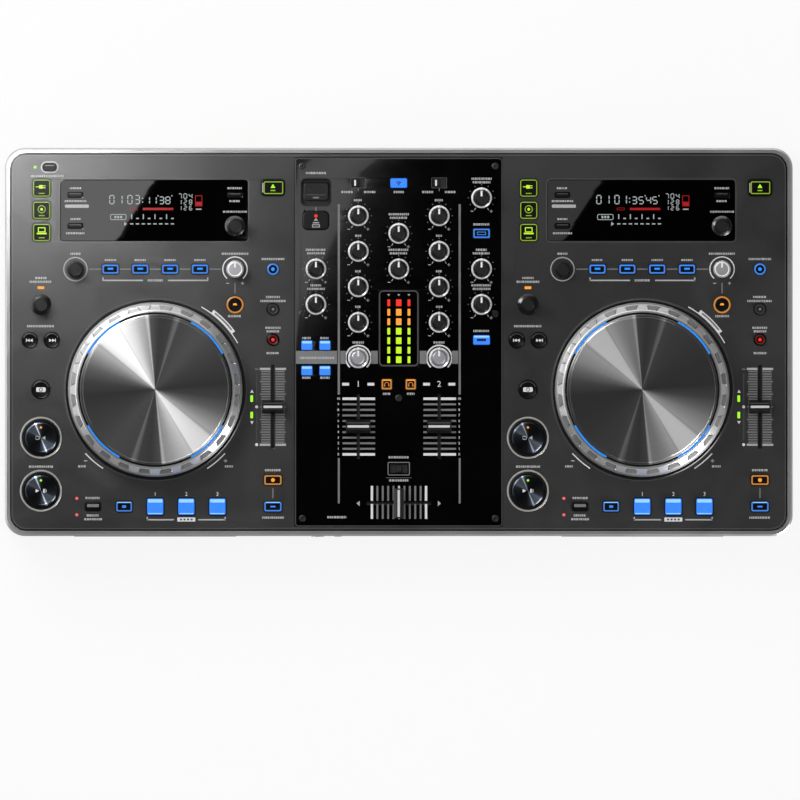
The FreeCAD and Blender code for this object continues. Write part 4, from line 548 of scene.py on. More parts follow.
class Piece:
    """One piece of the console: shapes are added to it one by one, then it is finished."""

    def __init__(self, name, body, slot, *replaced):
        self.name = name
        self.body = body
        self.slot = slot
        self.replaced = replaced
        self.bm = bmesh.new()
        self.finishes = []

    def add(self, shape, finish, x=0.0, y=0.0, z=0.0, turn=0.0, tip=None):
        """Put a shape in its place, turned about Z after it is tipped by a matrix."""
        if finish not in self.finishes:
            self.finishes.append(finish)
        for face in shape.faces:
            face.material_index = self.finishes.index(finish)
        if tip is not None:
            bmesh.ops.rotate(shape, verts=shape.verts, cent=(0, 0, 0), matrix=tip)
        if turn:
            matrix = Matrix.Rotation(math.radians(turn), 3, "Z")
            bmesh.ops.rotate(shape, verts=shape.verts, cent=(0, 0, 0), matrix=matrix)
        bmesh.ops.translate(shape, vec=(x, y, z), verts=shape.verts)
        self.take(shape)

    def take(self, shape):
        """Join a shape that is in its place and has its finishes."""
        mesh = bpy.data.meshes.new("shape")
        shape.to_mesh(mesh)
        shape.free()
        self.bm.from_mesh(mesh)
        bpy.data.meshes.remove(mesh)

    def mark(self, shape, finish, x, y, surface=PANEL, turn=0.0):
        """Print on a surface."""
        self.add(shape, finish, x, y, surface - PRINT / 3, turn)

    def done(self, sharp=33):
        bmesh.ops.scale(self.bm, vec=(MM, MM, MM), verts=self.bm.verts)
        mesh = bpy.data.meshes.new(self.name)
        self.bm.to_mesh(mesh)
        self.bm.free()
        for finish in self.finishes:
            mesh.materials.append(FINISHES[finish])
        mesh.shade_smooth()
        mesh.set_sharp_from_angle(angle=math.radians(sharp))
        piece = bpy.data.objects.new(self.name, mesh)
        bpy.context.scene.collection.objects.link(piece)
        even = piece.modifiers.new("even_shading", "WEIGHTED_NORMAL")
        even.keep_sharp = True
        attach(piece, self.body)
        if self.replaced:
            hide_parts(*self.replaced)
        return piece


def caption(piece, x, y, width, surface=PANEL, finish="print_pale", height=1.7):
    """Row of small dashes where a control carries its caption."""
    lengths = random.Random(int(x * 7 + y * 13))
    edge = -width / 2
    while edge < width / 2 - 0.5:
        length = min(lengths.choice((0.7, 0.9, 1.3, 1.7)), width / 2 - edge)
        piece.mark(bar(length, height), finish, x + edge + length / 2, y, surface)
        edge += length + 0.45


# Places of the controls of one deck, measured from the middle of the deck

SOURCE_KEYS = [(-89.8, y) for y in (121.7, 104.15, 86.6)]
WINDOW_KEYS = [(-KNOB_X, UPPER_Y), (-KNOB_X, LOWER_Y), (KNOB_X, UPPER_Y)]
EFFECT_KEYS = [(x, EFFECT_Y) for x in (-35.4, -11.8, 11.8, 35.4)]
PADS = [(x, PAD_Y) for x in (0.0, 24.6, 49.2)]
ROUND_KEYS = {"tap": (KNOB_X, 29.4, 6.8), "mode": (COLUMN_X, EFFECT_Y, 4.6), "range": (COLUMN_X, 25.9, 4.6),
              "lock": (COLUMN_X, 1.8, 4.6), "back": (LOOP_X - 8.75, 1.3, 6.1),
              "ahead": (LOOP_X + 8.75, 1.3, 6.1), "loop": (LOOP_X, -37.7, 7.1)}
EJECT_KEY = (COLUMN_X, 122.0)
SYNC_KEY = (COLUMN_X, PAD_Y)
MASTER_KEY = (COLUMN_X, -109.2)
SMALL_KEY = (-24.6, PAD_Y)
MODE_KEY = (-49.2, PAD_Y)
TRANSPORT = {"cue": (LOOP_X, -75.8), "play": (LOOP_X, -117.7)}
TRANSPORT_TOP = 83.1
PAD_TOP = 82.2
TEMPO_Y = -51.3
STANDBY = (-276.1, 138.3)

# Width, depth and corner of the keys
SOURCE_SIZE = (13.5, 13.5, 2.2)
EFFECT_SIZE = (12.7, 7.1, 1.4)
PAD_SIZE = (12.7, 12.7, 1.2)
EJECT_SIZE = (18.0, 12.4, 2.6)
SYNC_SIZE = (13.6, 7.6, 1.4)
SMALL_SIZE = (12.3, 7.7, 1.2)
MODE_SIZE = (11.7, 5.9, 1.0)
ON_SIZE = (13.0, 7.3, 1.0)
STOP_SIZE = (20.3, 14.5, 3.8)
PAIR_SIZE = (8.6, 7.3, 0.8)
CUE_SIZE = (8.0, 8.0, 1.0)

# Places of the controls of the mixer

CHANNELS = {"1": -32.0, "2": 32.0}
SIDE_X = 65.5
MIXER_KNOBS = {"master_knob": (0.0, 85.9), "booth_knob": (0.0, 57.8), "phones_mix_knob": (-SIDE_X, 57.8),
               "phones_level_knob": (-SIDE_X, 29.7), "aux_knob": (SIDE_X, 114.0),
               "mic_level_knob": (SIDE_X, 57.8), "mic_tone_knob": (SIDE_X, 29.7)}
for channel, channel_x in CHANNELS.items():
    for band, knob_y in (("trim", 99.8), ("high", 71.7), ("middle", 43.6), ("low", 15.5)):
        MIXER_KNOBS[band + "_knob_" + channel] = (channel_x, knob_y)
FILTER_Y = -12.6
FADER_Y = -66.8
CROSS_Y = -127.7
CURVE_Y = -100.2
INPUT_Y = 125.8
WELL = (-SIDE_X, 118.5)
PAIR_KEYS = [(-SIDE_X + x, FILTER_Y + y) for x in (-7.15, 7.15) for y in (10.05, -10.05)]
MIXER_SCREWS = [(x, y) for x in (-76.3, 76.3) for y in (139.1, 22.3, -139.5)] + [(0.0, -44.3)]
METER = (0.0, 10.8)
NETWORK_KEY = (0.0, 125.7)
AUX_KEY = (SIDE_X, 85.9)
MIC_KEY = (SIDE_X, 1.6)
STOP_KEY = (-SIDE_X, 96.1)
CUE_KEYS = [(-9.5, -33.5), (9.5, -33.5)]
HINGE_Y = 126.35
MIXER_KEYS = [(ON_SIZE, [NETWORK_KEY, AUX_KEY, MIC_KEY]), (STOP_SIZE, [STOP_KEY]), (PAIR_SIZE, PAIR_KEYS),
              (CUE_SIZE, CUE_KEYS)]


# Case, panel and plate

def key_hole(width, depth, corner, x, y):
    """Hole that leaves an even gap round a key."""
    return (width + 2 * KEY_GAP, depth + 2 * KEY_GAP, corner + KEY_GAP, x, y)


def make_panel():
    """Dark painted panel with every hole, and the black step under each jog wheel."""
    loops = [(613.0, 297.0, 12.0, 0.0, 0.0, 12), (164.4, 291.8, 0.4, 0.0, -0.2),
             (12.0, 7.2, 3.6, STANDBY[0], STANDBY[1])]
    painted_gap_shadows = []
    for deck_x in DECKS.values():
        keys = [(place, SOURCE_SIZE) for place in SOURCE_KEYS]
        keys += [(place, EFFECT_SIZE) for place in EFFECT_KEYS]
        keys += [(place, PAD_SIZE) for place in PADS]
        keys += [(EJECT_KEY, EJECT_SIZE), (SYNC_KEY, SYNC_SIZE), (MASTER_KEY, SYNC_SIZE),
                 (SMALL_KEY, SMALL_SIZE), (MODE_KEY, MODE_SIZE)]
        for (x, y), (width, depth, corner) in keys:
            loops.append(key_hole(width, depth, corner, deck_x + x, y))
            painted_gap_shadows.append((width + 2.2, depth + 2.2, corner + 1.1, deck_x + x, y))
        for x, y, radius in ROUND_KEYS.values():
            loops.append(key_hole(2 * radius, 2 * radius, radius, deck_x + x, y) + (8,))
        for x, y in TRANSPORT.values():
            loops.append((25.8, 25.8, 12.9, deck_x + x, y, 12))
        for x, y in ((-KNOB_X, EFFECT_Y), (KNOB_X, EFFECT_Y), (LOOP_X, LOOP_KNOB_Y)):
            loops.append((7.0, 7.0, 3.5, deck_x + x, y))
        loops.append((24.0, 24.0, 12.0, deck_x, JOG_Y))
        loops.append((2.4, 66.0, 0.3, deck_x + COLUMN_X, TEMPO_Y))
        loops.append((148.5, 48.6, 2.6, deck_x + WINDOW_X, WINDOW_Y))
    panel = Piece("deck_panel", "console", "panel_grey", "top_panel")
    panel.add(sheet(loops, 3.0, 0.45), "panel_paint", z=77.0)
    # Painted shade: a dark sheet down in the gap between the case rim and the panel.
    panel.add(hoop(614.6, 298.6, 1.4, 12.8, 0.6), "painted_gap_shade", z=76.9)
    # Painted highlight: a lighter line round the panel's edge in place of the gloss on its bevel.
    panel.mark(hoop(612.0, 296.0, 0.6, 11.5), "painted_edge_highlight", 0.0, 0.0)
    for deck_x in DECKS.values():
        profile = [(12.0, 80.0), (12.0, 80.9), (70.9, 80.9), (71.6, 80.4), (71.6, 79.9), (12.6, 79.9)]
        panel.add(turned(profile, 120, closed=True), "step_black", deck_x, JOG_Y)
    # Painted shadow: a black frame round each key in place of the shade in its gap.
    for width, depth, corner, x, y in painted_gap_shadows:
        panel.mark(hoop(width, depth, 0.8, corner), "black_print_and_painted_shade", x, y)
    panel.done()


def make_plate():
    """Glossy mixer plate with its holes and the port well."""
    loops = [(164.2, 291.6, 0.6, 0.0, -0.2), (22.8, 20.7, 3.4) + WELL, (32.0, 60.7, 0.4) + METER]
    for size, places in MIXER_KEYS:
        loops += [key_hole(*size, x, y) for x, y in places]
    knobs = list(MIXER_KNOBS.values()) + [(x, FILTER_Y) for x in CHANNELS.values()]
    loops += [(7.0, 7.0, 3.5, x, y) for x, y in knobs]
    loops += [(2.4, 51.0, 0.3, x, FADER_Y) for x in CHANNELS.values()]
    loops.append((51.0, 2.4, 0.3, 0.0, CROSS_Y))
    loops += [(9.8, 6.6, 0.5, x, INPUT_Y) for x in CHANNELS.values()]
    loops.append((13.6, 6.6, 0.5, 0.0, CURVE_Y))
    plate = Piece("mixer_face", "console", "mixer_gloss", "mixer_plate")
    plate.add(sheet(loops, 2.0, 0.25), "plate_gloss", z=78.3)
    plate.add(sheet([(25.8, 23.7, 4.6) + WELL, (22.8, 20.7, 3.4) + WELL], 3.4, 0.1), "socket_black", z=75.0)
    plate.add(sheet([(24.0, 22.0, 3.6) + WELL, (14.6, 7.1, 0.4) + WELL], 1.4, 0.1), "socket_black", z=75.1)
    plate.mark(hoop(24.6, 22.5, 0.9, 4.2), "black_print_and_painted_shade", *WELL, PLATE)
    plate.done()


def make_glass():
    """Smoked glass of both displays and the lens of the level meter, with what they show."""
    glass = Piece("display_glass", "console", "window_dark", "display_windows")
    for side, deck_x in DECKS.items():
        loops = [(148.3, 48.4, 2.4, deck_x + WINDOW_X, WINDOW_Y), (7.0, 7.0, 3.5, deck_x + KNOB_X, LOWER_Y)]
        loops += [(12.1, 4.2, 1.0, deck_x + x, y) for x, y in WINDOW_KEYS]
        glass.add(sheet(loops, 2.0, 0.3), "glass_smoke", z=78.2)
        show_display(glass, deck_x, "01031138" if side == "left" else "01013545")
    glass.add(sheet([(31.8, 60.5, 0.4) + METER], 2.0, 0.2), "glass_smoke", z=78.3)
    glass.mark(hoop(31.4, 60.1, 1.1, 3.4), "dim_print_and_painted_highlight", *METER, PLATE)
    levels = ("lit_red", "lit_orange", "lit_orange", "lit_lime", "lit_lime", "lit_lime", "lit_lime")
    for row, finish in enumerate(levels):
        for x, width in ((-7.9, 2.2), (0.0, 4.3), (8.1, 2.2)):
            glass.mark(bar(width, 5.3, 0.3), finish, x, 31.0 - 7.5 * row, PLATE)
    for x in (-7.9, 0.0, 8.1):
        glass.mark(wedge(1.6, 2.2), "print_pale", x, 37.3, PLATE, -90)
    glass.done()


SEGMENTS = {"0": "abcdef", "1": "bc", "2": "abged", "3": "abgcd", "4": "fgbc", "5": "afgcd", "6": "afgedc",
            "7": "abc", "8": "abcdefg", "9": "abcdfg"}
SEGMENT_BARS = {"a": (0, 2, 0), "b": (1, 1, 1), "c": (1, -1, 1), "d": (0, -2, 0), "e": (-1, -1, 1),
                "f": (-1, 1, 1), "g": (0, 0, 0)}


def digit(piece, value, x, y, width, height, line=0.75):
    """Seven-bar number of a display."""
    for bar_name in SEGMENTS[value]:
        across, along, upright = SEGMENT_BARS[bar_name]
        size = (line, height / 2 - line * 0.9) if upright else (width - line, line)
        piece.mark(bar(*size), "lit_pale", x + across * width / 2, y + along * height / 4, GLASS)


def show_display(glass, deck_x, numbers):
    """Track number, time, pitch, progress bar and beat marks."""
    spots = (-34.3, -27.9, -20.0, -14.2, -6.2, -0.9, 5.0, 10.0)
    for value, x in zip(numbers, spots):
        tall = 6.6 if x < -10 else 5.4
        digit(glass, value, deck_x + x, 112.6 if x < -10 else 112.0, 3.4, tall)
    for x, y in ((-10.0, 113.6), (-10.0, 110.6), (2.3, 115.6), (13.2, 115.6)):
        glass.mark(dot(0.5), "lit_pale", deck_x + x, y, GLASS)
    small = (("704", 115.4, 2.4, 3.6), ("128", 110.6, 2.0, 3.6), ("126", 105.9, 2.0, 3.2))
    for shown, y, width, tall in small:
        for place, value in enumerate(shown):
            digit(glass, value, deck_x + 19.6 + 4.2 * place, y, width, tall, line=0.6)
    glass.mark(hoop(5.6, 8.6, 0.5), "lit_crimson", deck_x + 34.4, 111.6, GLASS)
    glass.mark(bar(4.4, 3.4), "lit_crimson", deck_x + 34.4, 109.2, GLASS)
    glass.mark(bar(4.4, 0.9), "lit_pale", deck_x + 34.4, 105.0, GLASS)
    glass.mark(bar(24.0, 1.8), "lit_crimson", deck_x + 2.2, 105.2, GLASS)
    glass.mark(hoop(6.0, 1.9, 0.3), "lit_crimson", deck_x - 17.0, 105.2, GLASS)
    glass.mark(hoop(12.8, 4.6, 0.5, 1.2), "lit_pale", deck_x - 29.2, 98.8, GLASS)
    for x in (-31.5, -29.2, -26.9):
        glass.mark(bar(1.5, 1.9), "lit_pale", deck_x + x, 98.8, GLASS)
    for step in range(8):
        x = deck_x - 18.6 + 4.6 * step
        if step % 2 == 0:
            glass.mark(bar(0.8, 3.8), "lit_pale", x, 99.1, GLASS)
        else:
            glass.mark(bar(2.0, 1.0), "lit_pale", x, 97.7, GLASS)
        glass.mark(bar(2.6, 0.9), "lit_pale", x, 93.4, GLASS)
    glass.mark(wedge(2.2, 3.2), "lit_pale", deck_x - 23.8, 93.4, GLASS)
    for x, y, width in ((-KNOB_X, 121.6, 9.0), (-KNOB_X, 111.4, 17.0), (-KNOB_X, 97.2, 8.0),
                        (-KNOB_X, 86.0, 15.0), (KNOB_X, 121.6, 12.0), (KNOB_X, 111.4, 9.0),
                        (KNOB_X, 103.0, 19.0)):
        caption(glass, deck_x + x, y, width, GLASS, "print_pale", 1.5)
    glass.mark(bar(19.0, 2.6, 0.8), "print_pale", deck_x - 62.0, 107.4, GLASS)


def make_lamps():
    """Lamps on the panel and the light rings round the cue and play buttons."""
    lamps = Piece("panel_lamps", "console", "lamp_lens", "indicator_lights")
    lamps.add(box(2.2, 2.2, 0.5, 0.9, 0.15), "lit_green", STANDBY[0] - 11.4, STANDBY[1], PANEL - 0.1)
    for deck_x in DECKS.values():
        lamps.add(box(5.4, 2.2, 0.5, 0.6, 0.15), "lit_orange", deck_x + LOOP_X, 42.9, PANEL - 0.1)
        for side in (-1, 1):
            lamps.add(box(2.2, 5.2, 0.5, 0.6, 0.15), "lit_green", deck_x + 76.3, TEMPO_Y + 6.5 * side,
                      PANEL - 0.1)
            lamps.add(box(2.4, 2.4, 0.5, 1.1, 0.15), "lit_rose", deck_x - 62.0, PAD_Y + 6.5 * side,
                      PANEL - 0.1)
        for x, y in TRANSPORT.values():
            ring = [(15.2, 0.0), (15.2, 1.0), (15.5, 1.2), (16.3, 1.2), (16.6, 0.9), (16.6, 0.0)]
            collar = [(12.9, 0.0), (12.9, 0.5), (13.2, 0.8), (14.9, 0.8), (15.25, 0.6), (15.25, 0.0)]
            lamps.add(turned(ring, 72, closed=True), "ring_grey", deck_x + x, y, PANEL - 0.02)
            lamps.add(turned(collar, 72, closed=True), "collar_black", deck_x + x, y, PANEL - 0.02)
    lamps.done()


# Keys

def plain_key(piece, x, y, size, finish, top=KEY_TOP, edge=0.4):
    width, depth, corner = size
    piece.add(box(width, depth, top - KEY_FOOT, corner, edge), finish, x, y, KEY_FOOT)


def lit_key(piece, x, y, size, glow, rim, top=KEY_TOP):
    """Key with a lit rim round a dark heart."""
    width, depth, corner = size
    piece.add(box(width, depth, top - KEY_FOOT - 0.25, corner, 0.3), glow, x, y, KEY_FOOT)
    piece.add(box(width - 2 * rim, depth - 2 * rim, 1.0, corner * 0.55, 0.2), "key_black", x, y, top - 1.0)


def round_key(piece, x, y, radius, finish, dish=0.0):
    tall = KEY_TOP - KEY_FOOT
    profile = [(0, 0), (radius, 0), (radius, tall - 0.5), (radius - 0.15, tall - 0.15), (radius - 0.5, tall),
               (radius - 1.0, tall - dish * 0.5), (0, tall - dish)]
    piece.add(turned(profile, 40), finish, x, y, KEY_FOOT)


def make_deck_keys(side, deck_x):
    keys = Piece(side + "_key_caps", "deck_keys_" + side, "key_black", "deck_keys_" + side)
    top = KEY_TOP
    for x, y in SOURCE_KEYS:
        lit_key(keys, deck_x + x, y, SOURCE_SIZE, "lit_olive", 0.75)
        keys.mark(bar(4.6, 0.7), "lit_olive", deck_x + x, y - 4.2, top)
    source_symbols(keys, deck_x)
    for x, y in WINDOW_KEYS:
        keys.add(box(11.5, 3.6, 8.0, 1.2, 0.4), "key_black", deck_x + x, y, KEY_FOOT)
        keys.mark(bar(8.6, 0.6, 0.2), "dim_print_and_painted_highlight", deck_x + x, y + 0.9, 81.0)
    for x, y in EFFECT_KEYS:
        lit_key(keys, deck_x + x, y, EFFECT_SIZE, "lit_deep", 1.15)
        # Painted highlight: a brighter glowing strip along the key's rear edge.
        keys.add(box(11.6, 0.7, 0.25, 0.3), "lit_blue", deck_x + x, y + 3.0, top - 0.3)
        keys.mark(bar(4.4, 1.5, 0.3), "lit_azure", deck_x + x, y + 0.3, top)
    x, y = deck_x + EJECT_KEY[0], EJECT_KEY[1]
    plain_key(keys, x, y, EJECT_SIZE, "key_black", top - 0.2)
    keys.mark(hoop(15.4, 10.0, 0.8, 1.2), "lit_olive", x + 0.4, y, top - 0.2)
    keys.mark(wedge(3.2, 3.8), "lit_green", x, y + 0.9, top - 0.2, 90)
    keys.mark(bar(3.8, 1.0), "lit_olive", x, y - 2.2, top - 0.2)
    keys.mark(bar(0.9, 7.6, 0.4), "print_pale", x - 8.0, y, top - 0.2)
    x, y = deck_x + SYNC_KEY[0], SYNC_KEY[1]
    lit_key(keys, x, y, SYNC_SIZE, "lit_deep", 1.1)
    keys.mark(bar(4.0, 1.2, 0.3), "lit_blue", x, y, top)
    x, y = deck_x + MASTER_KEY[0], MASTER_KEY[1]
    lit_key(keys, x, y, SYNC_SIZE, "lit_amber", 1.1)
    keys.mark(dot(1.5), "lit_orange", x, y, top)
    x, y = deck_x + SMALL_KEY[0], SMALL_KEY[1]
    lit_key(keys, x, y, SMALL_SIZE, "lit_deep", 1.0)
    keys.mark(bar(3.2, 2.0, 0.4), "lit_deep", x, y, top)
    # Painted highlight: a brighter glowing strip along each key's rear edge.
    for x, y in (SYNC_KEY, SMALL_KEY):
        keys.add(box(11.0, 0.6, 0.25, 0.3), "lit_sky_painted_highlight", deck_x + x, y + 3.3, top - 0.3)
    x, y = deck_x + MODE_KEY[0], MODE_KEY[1]
    plain_key(keys, x, y, MODE_SIZE, "key_black")
    keys.mark(bar(9.4, 2.4, 0.5), "print_grey", x, y + 0.8, top)
    round_keys(keys, deck_x)
    keys.done()


def source_symbols(keys, deck_x):
    """Plug, disc and folding computer."""
    top = KEY_TOP
    x, y = deck_x + SOURCE_KEYS[0][0], SOURCE_KEYS[0][1] + 1.0
    keys.mark(bar(3.0, 2.8, 0.5), "lit_lime", x - 0.6, y, top)
    keys.mark(bar(2.6, 0.6), "lit_lime", x - 3.2, y, top)
    for step in (-0.8, 0.8):
        keys.mark(bar(2.2, 0.6), "lit_lime", x + 1.9, y + step, top)
    y = SOURCE_KEYS[1][1] + 0.8
    keys.mark(arc(2.5, 3.2, 0, 360), "lit_olive", x, y, top)
    keys.mark(dot(1.1), "lit_lime", x, y, top)
    y = SOURCE_KEYS[2][1] + 1.2
    keys.mark(hoop(6.0, 4.0, 0.7, 0.4), "lit_lime", x, y + 0.9, top)
    keys.mark(bar(7.8, 1.2, 0.3), "lit_lime", x, y - 2.0, top)


def round_keys(keys, deck_x):
    top = KEY_TOP
    for name, (x, y, radius) in ROUND_KEYS.items():
        x += deck_x
        if name == "tap":
            round_key(keys, x, y, radius, "lit_amber")
            heart = turned([(0, 0), (5.5, 0), (5.5, 0.7), (5.2, 0.9), (0, 0.7)], 40)
            keys.add(heart, "key_black", x, y, top - 0.7)
            keys.mark(bar(4.2, 1.6, 0.8), "lit_orange", x, y + 0.4, top + 0.02)
        elif name == "mode":
            round_key(keys, x, y, radius, "lit_deep")
            heart = turned([(0, 0), (3.4, 0), (3.4, 0.6), (0, 0.8)], 32)
            keys.add(heart, "key_black", x, y, top - 0.6)
            keys.mark(dot(1.4), "lit_azure", x, y, top + 0.2)
        elif name in ("range", "lock"):
            lit = name == "lock"
            round_key(keys, x, y, radius, "key_black" if lit else "knob_face", dish=0.5)
            keys.mark(arc(3.1, 3.9, 0, 360), "lit_crimson" if lit else "dim_print_and_painted_highlight", x, y, top - 0.3)
            keys.mark(dot(1.6 if lit else 1.0), "lit_red" if lit else "print_grey", x, y, top - 0.45)
        else:
            round_key(keys, x, y, radius, "key_black", dish=0.6)
            # Painted highlight: a pale crescent on the rear half of the key's rim.
            keys.mark(arc(radius - 1.1, radius - 0.6, 20, 160), "dim_print_and_painted_highlight", x, y, top - 0.05)
        if name == "loop":
            keys.mark(bar(9.6, 3.6, 0.8), "print_white", x, y, top - 0.45)
            keys.mark(arc(1.0, 1.5, 0, 360), "black_print_and_painted_shade", x, y, top - 0.4)
        if name in ("back", "ahead"):
            point = 180 if name == "back" else 0
            way = -1 if name == "back" else 1
            for step in (-1.5, 0.9):
                keys.mark(wedge(2.3, 2.6), "print_white", x + way * step, y, top - 0.45, point)
            keys.mark(bar(0.6, 2.6), "print_white", x + way * 2.7, y, top - 0.45)


def make_pads():
    pads = Piece("pad_caps", "hot_cue_pads", "key_black", "hot_cue_pads")
    for deck_x in DECKS.values():
        for x, y in PADS:
            plain_key(pads, deck_x + x, y, PAD_SIZE, "lit_blue", PAD_TOP, 0.5)
            # Painted highlights: brighter glowing strips across the rear and the front of each pad.
            pads.mark(bar(11.4, 2.6, 0.4), "lit_sky_painted_highlight", deck_x + x, y + 4.5, PAD_TOP)
            pads.mark(bar(11.4, 0.7, 0.2), "lit_sky_painted_highlight", deck_x + x, y - 5.5, PAD_TOP)
    pads.done()


def make_mixer_keys():
    keys = Piece("mixer_key_caps", "mixer_keys", "key_black", "mixer_keys")
    top = PLATE + 1.6
    x, y = NETWORK_KEY
    plain_key(keys, x, y, ON_SIZE, "lit_blue", top)
    for inner in (0.9, 2.2):
        keys.mark(arc(inner, inner + 0.7, 45, 135), "lit_night", x, y - 1.6, top)
    keys.mark(dot(0.5), "lit_night", x, y - 1.4, top)
    x, y = AUX_KEY
    lit_key(keys, x, y, ON_SIZE, "lit_deep", 1.1, top)
    keys.mark(hoop(7.0, 2.6, 0.5, 0.4), "lit_deep", x, y, top)
    x, y = MIC_KEY
    plain_key(keys, x, y, ON_SIZE, "lit_blue", top)
    keys.mark(bar(7.4, 2.0, 0.5), "lit_night", x, y, top)
    # Painted highlight: a brighter glowing strip near the key's rear edge.
    keys.mark(bar(12.0, 1.4, 0.3), "lit_sky_painted_highlight", x, y + 2.6, top)
    x, y = STOP_KEY
    plain_key(keys, x, y, STOP_SIZE, "fader_black", top, 0.8)
    keys.mark(dot(1.3), "lit_red", x, y + 3.6, top)
    keys.mark(wedge(2.0, 3.4), "print_pale", x, y + 0.5, top, 90)
    keys.mark(bar(5.0, 0.9), "print_pale", x, y - 1.8, top)
    keys.mark(hoop(6.0, 2.4, 0.6), "print_pale", x, y - 4.3, top)
    for x, y in PAIR_KEYS:
        plain_key(keys, x, y, PAIR_SIZE, "lit_blue", top)
        # Painted highlight: a brighter glowing strip near each key's rear edge.
        keys.mark(bar(7.6, 1.8, 0.3), "lit_sky_painted_highlight", x, y + 2.3, top)
    for x, y in CUE_KEYS:
        lit_key(keys, x, y, CUE_SIZE, "lit_amber", 1.2, top)
        # Painted highlight: a brighter glowing strip along each key's rear edge.
        keys.add(box(6.6, 0.9, 0.25, 0.3), "lit_orange", x, y + 3.3, top - 0.3)
        keys.mark(arc(1.4, 1.9, 0, 180), "lit_amber", x, y - 0.1, top)
        for side in (-1, 1):
            keys.mark(bar(0.9, 1.6, 0.3), "lit_amber", x + 1.65 * side, y - 0.9, top)
    keys.done()


def make_standby():
    button = Piece("standby_cap", "standby_button", "key_black", "standby_button")
    button.add(box(11.4, 6.6, 8.6, 3.29, 0.7, 8, 3), "key_black", *STANDBY, KEY_FOOT)
    button.mark(bar(7.0, 0.8, 0.4), "print_grey", STANDBY[0], STANDBY[1] + 1.3, KEY_TOP)
    button.done()


def make_transport(side, deck_x):
    """Cue and play buttons: a dished, turned face in a bright rim."""
    for name, (x, y) in TRANSPORT.items():
        x += deck_x
        button = Piece(side + "_" + name + "_cap", name + "_button_" + side, "transport_black",
                       name + "_button_" + side)
        body = [(0, 0), (12.6, 0), (12.6, 9.3), (12.3, 9.9), (11.7, 10.3), (11.1, 10.4), (10.7, 10.2),
                (0, 10.1)]
        button.add(turned(body, 72), name + "_face_" + side, x, y, KEY_FOOT)
        button.add(dot(0.9, 0.3), "lit_orange" if name == "cue" else "lit_green", x, y + 8.2, TRANSPORT_TOP)
        if name == "cue":
            button.mark(hoop(3.6, 3.0, 0.6, 0.9), "print_pale", x - 2.8, y, TRANSPORT_TOP)
            button.mark(wedge(2.6, 3.0), "print_pale", x + 2.6, y, TRANSPORT_TOP, 180)
        else:
            button.mark(wedge(3.4, 3.4), "print_white", x - 3.6, y, TRANSPORT_TOP)
            for step in (2.4, 4.4):
                button.mark(bar(1.2, 3.0), "print_white", x + step, y, TRANSPORT_TOP)
        button.done()


# Rotary controls

# Radius of the skirt, foot and top of a knob on the plate, and its height
MIXER_KNOB = (8.2, 6.9, 5.3, 17.5)


def fluted(bm, flutes, depth, low, high):
    """Press shallow grooves into the side of a turned cap."""
    for vert in bm.verts:
        radius = math.hypot(vert.co.x, vert.co.y)
        if low < vert.co.z < high and radius > 1:
            turn = math.atan2(vert.co.y, vert.co.x) * flutes
            factor = 1 - depth / radius * max(0.0, math.cos(turn))
            vert.co.x *= factor
            vert.co.y *= factor
    return bm


def knob(name, x, y, surface, skirt, foot, top, height, cap="knob_black", face="knob_face",
         rim="knob_ring", pointer="pointer_white", slot="knob_black"):
    """Flared bright skirt, fluted cap with a dished face, and a pointer line."""
    piece = Piece(name + "_cap", name, slot, name)
    base = surface + 0.8
    piece.add(turned([(0, -3.5), (3.0, -3.5), (3.0, 0.2), (0, 0.2)], 24), "carrier_steel", x, y, base)
    if skirt > foot:
        ring = [(0, 0), (skirt, 0), (skirt, 0.7), (skirt - 0.25, 1.1), (foot + 0.1, 2.3), (foot - 0.6, 2.6),
                (0, 2.6)]
        piece.add(turned(ring, 64), rim, x, y, base)
    low = 2.2 if skirt > foot else 0.0
    tall = height - 0.8
    body = [(0, low), (foot - 0.1, low), (foot, low + 0.4)]
    for step in range(1, 5):
        body.append((foot + (top + 0.2 - foot) * step / 5, low + (tall - low) * step / 5))
    body += [(top + 0.1, tall - 0.8), (top - 0.15, tall - 0.2), (top - 0.6, tall), (top - 1.0, tall - 0.25),
             (0, tall - 0.35)]
    piece.add(fluted(turned(body, 72), 18, 0.28, low + 0.2, tall - 0.5), cap, x, y, base)
    disc = [(0, -0.3), (top - 1.1, -0.3), (top - 1.1, 0.02), (top - 1.3, 0.12), (0, 0.05)]
    piece.add(turned(disc, 40), face, x, y, base + tall - 0.3)
    if pointer:
        length = top + 0.1 - 1.2
        piece.add(box(1.5, length, 0.45, 0.3, 0.1), pointer, x, y + 1.2 + length / 2, base + tall - 0.35)
        slope = math.atan2(foot - top, tall - low)
        side = box(1.5, 0.9, tall - low - 0.6, 0.2)
        bmesh.ops.rotate(side, verts=side.verts, cent=(0, 0, 0), matrix=Matrix.Rotation(slope, 3, "X"))
        piece.add(side, pointer, x, y + foot - 0.4, base + low + 0.2)
        if skirt > foot:
            piece.add(box(1.5, skirt - foot + 0.9, 0.5, 0.2, 0.1), pointer, x, y + (skirt + foot) / 2 - 0.3,
                      base + 2.0)
    piece.done(40)


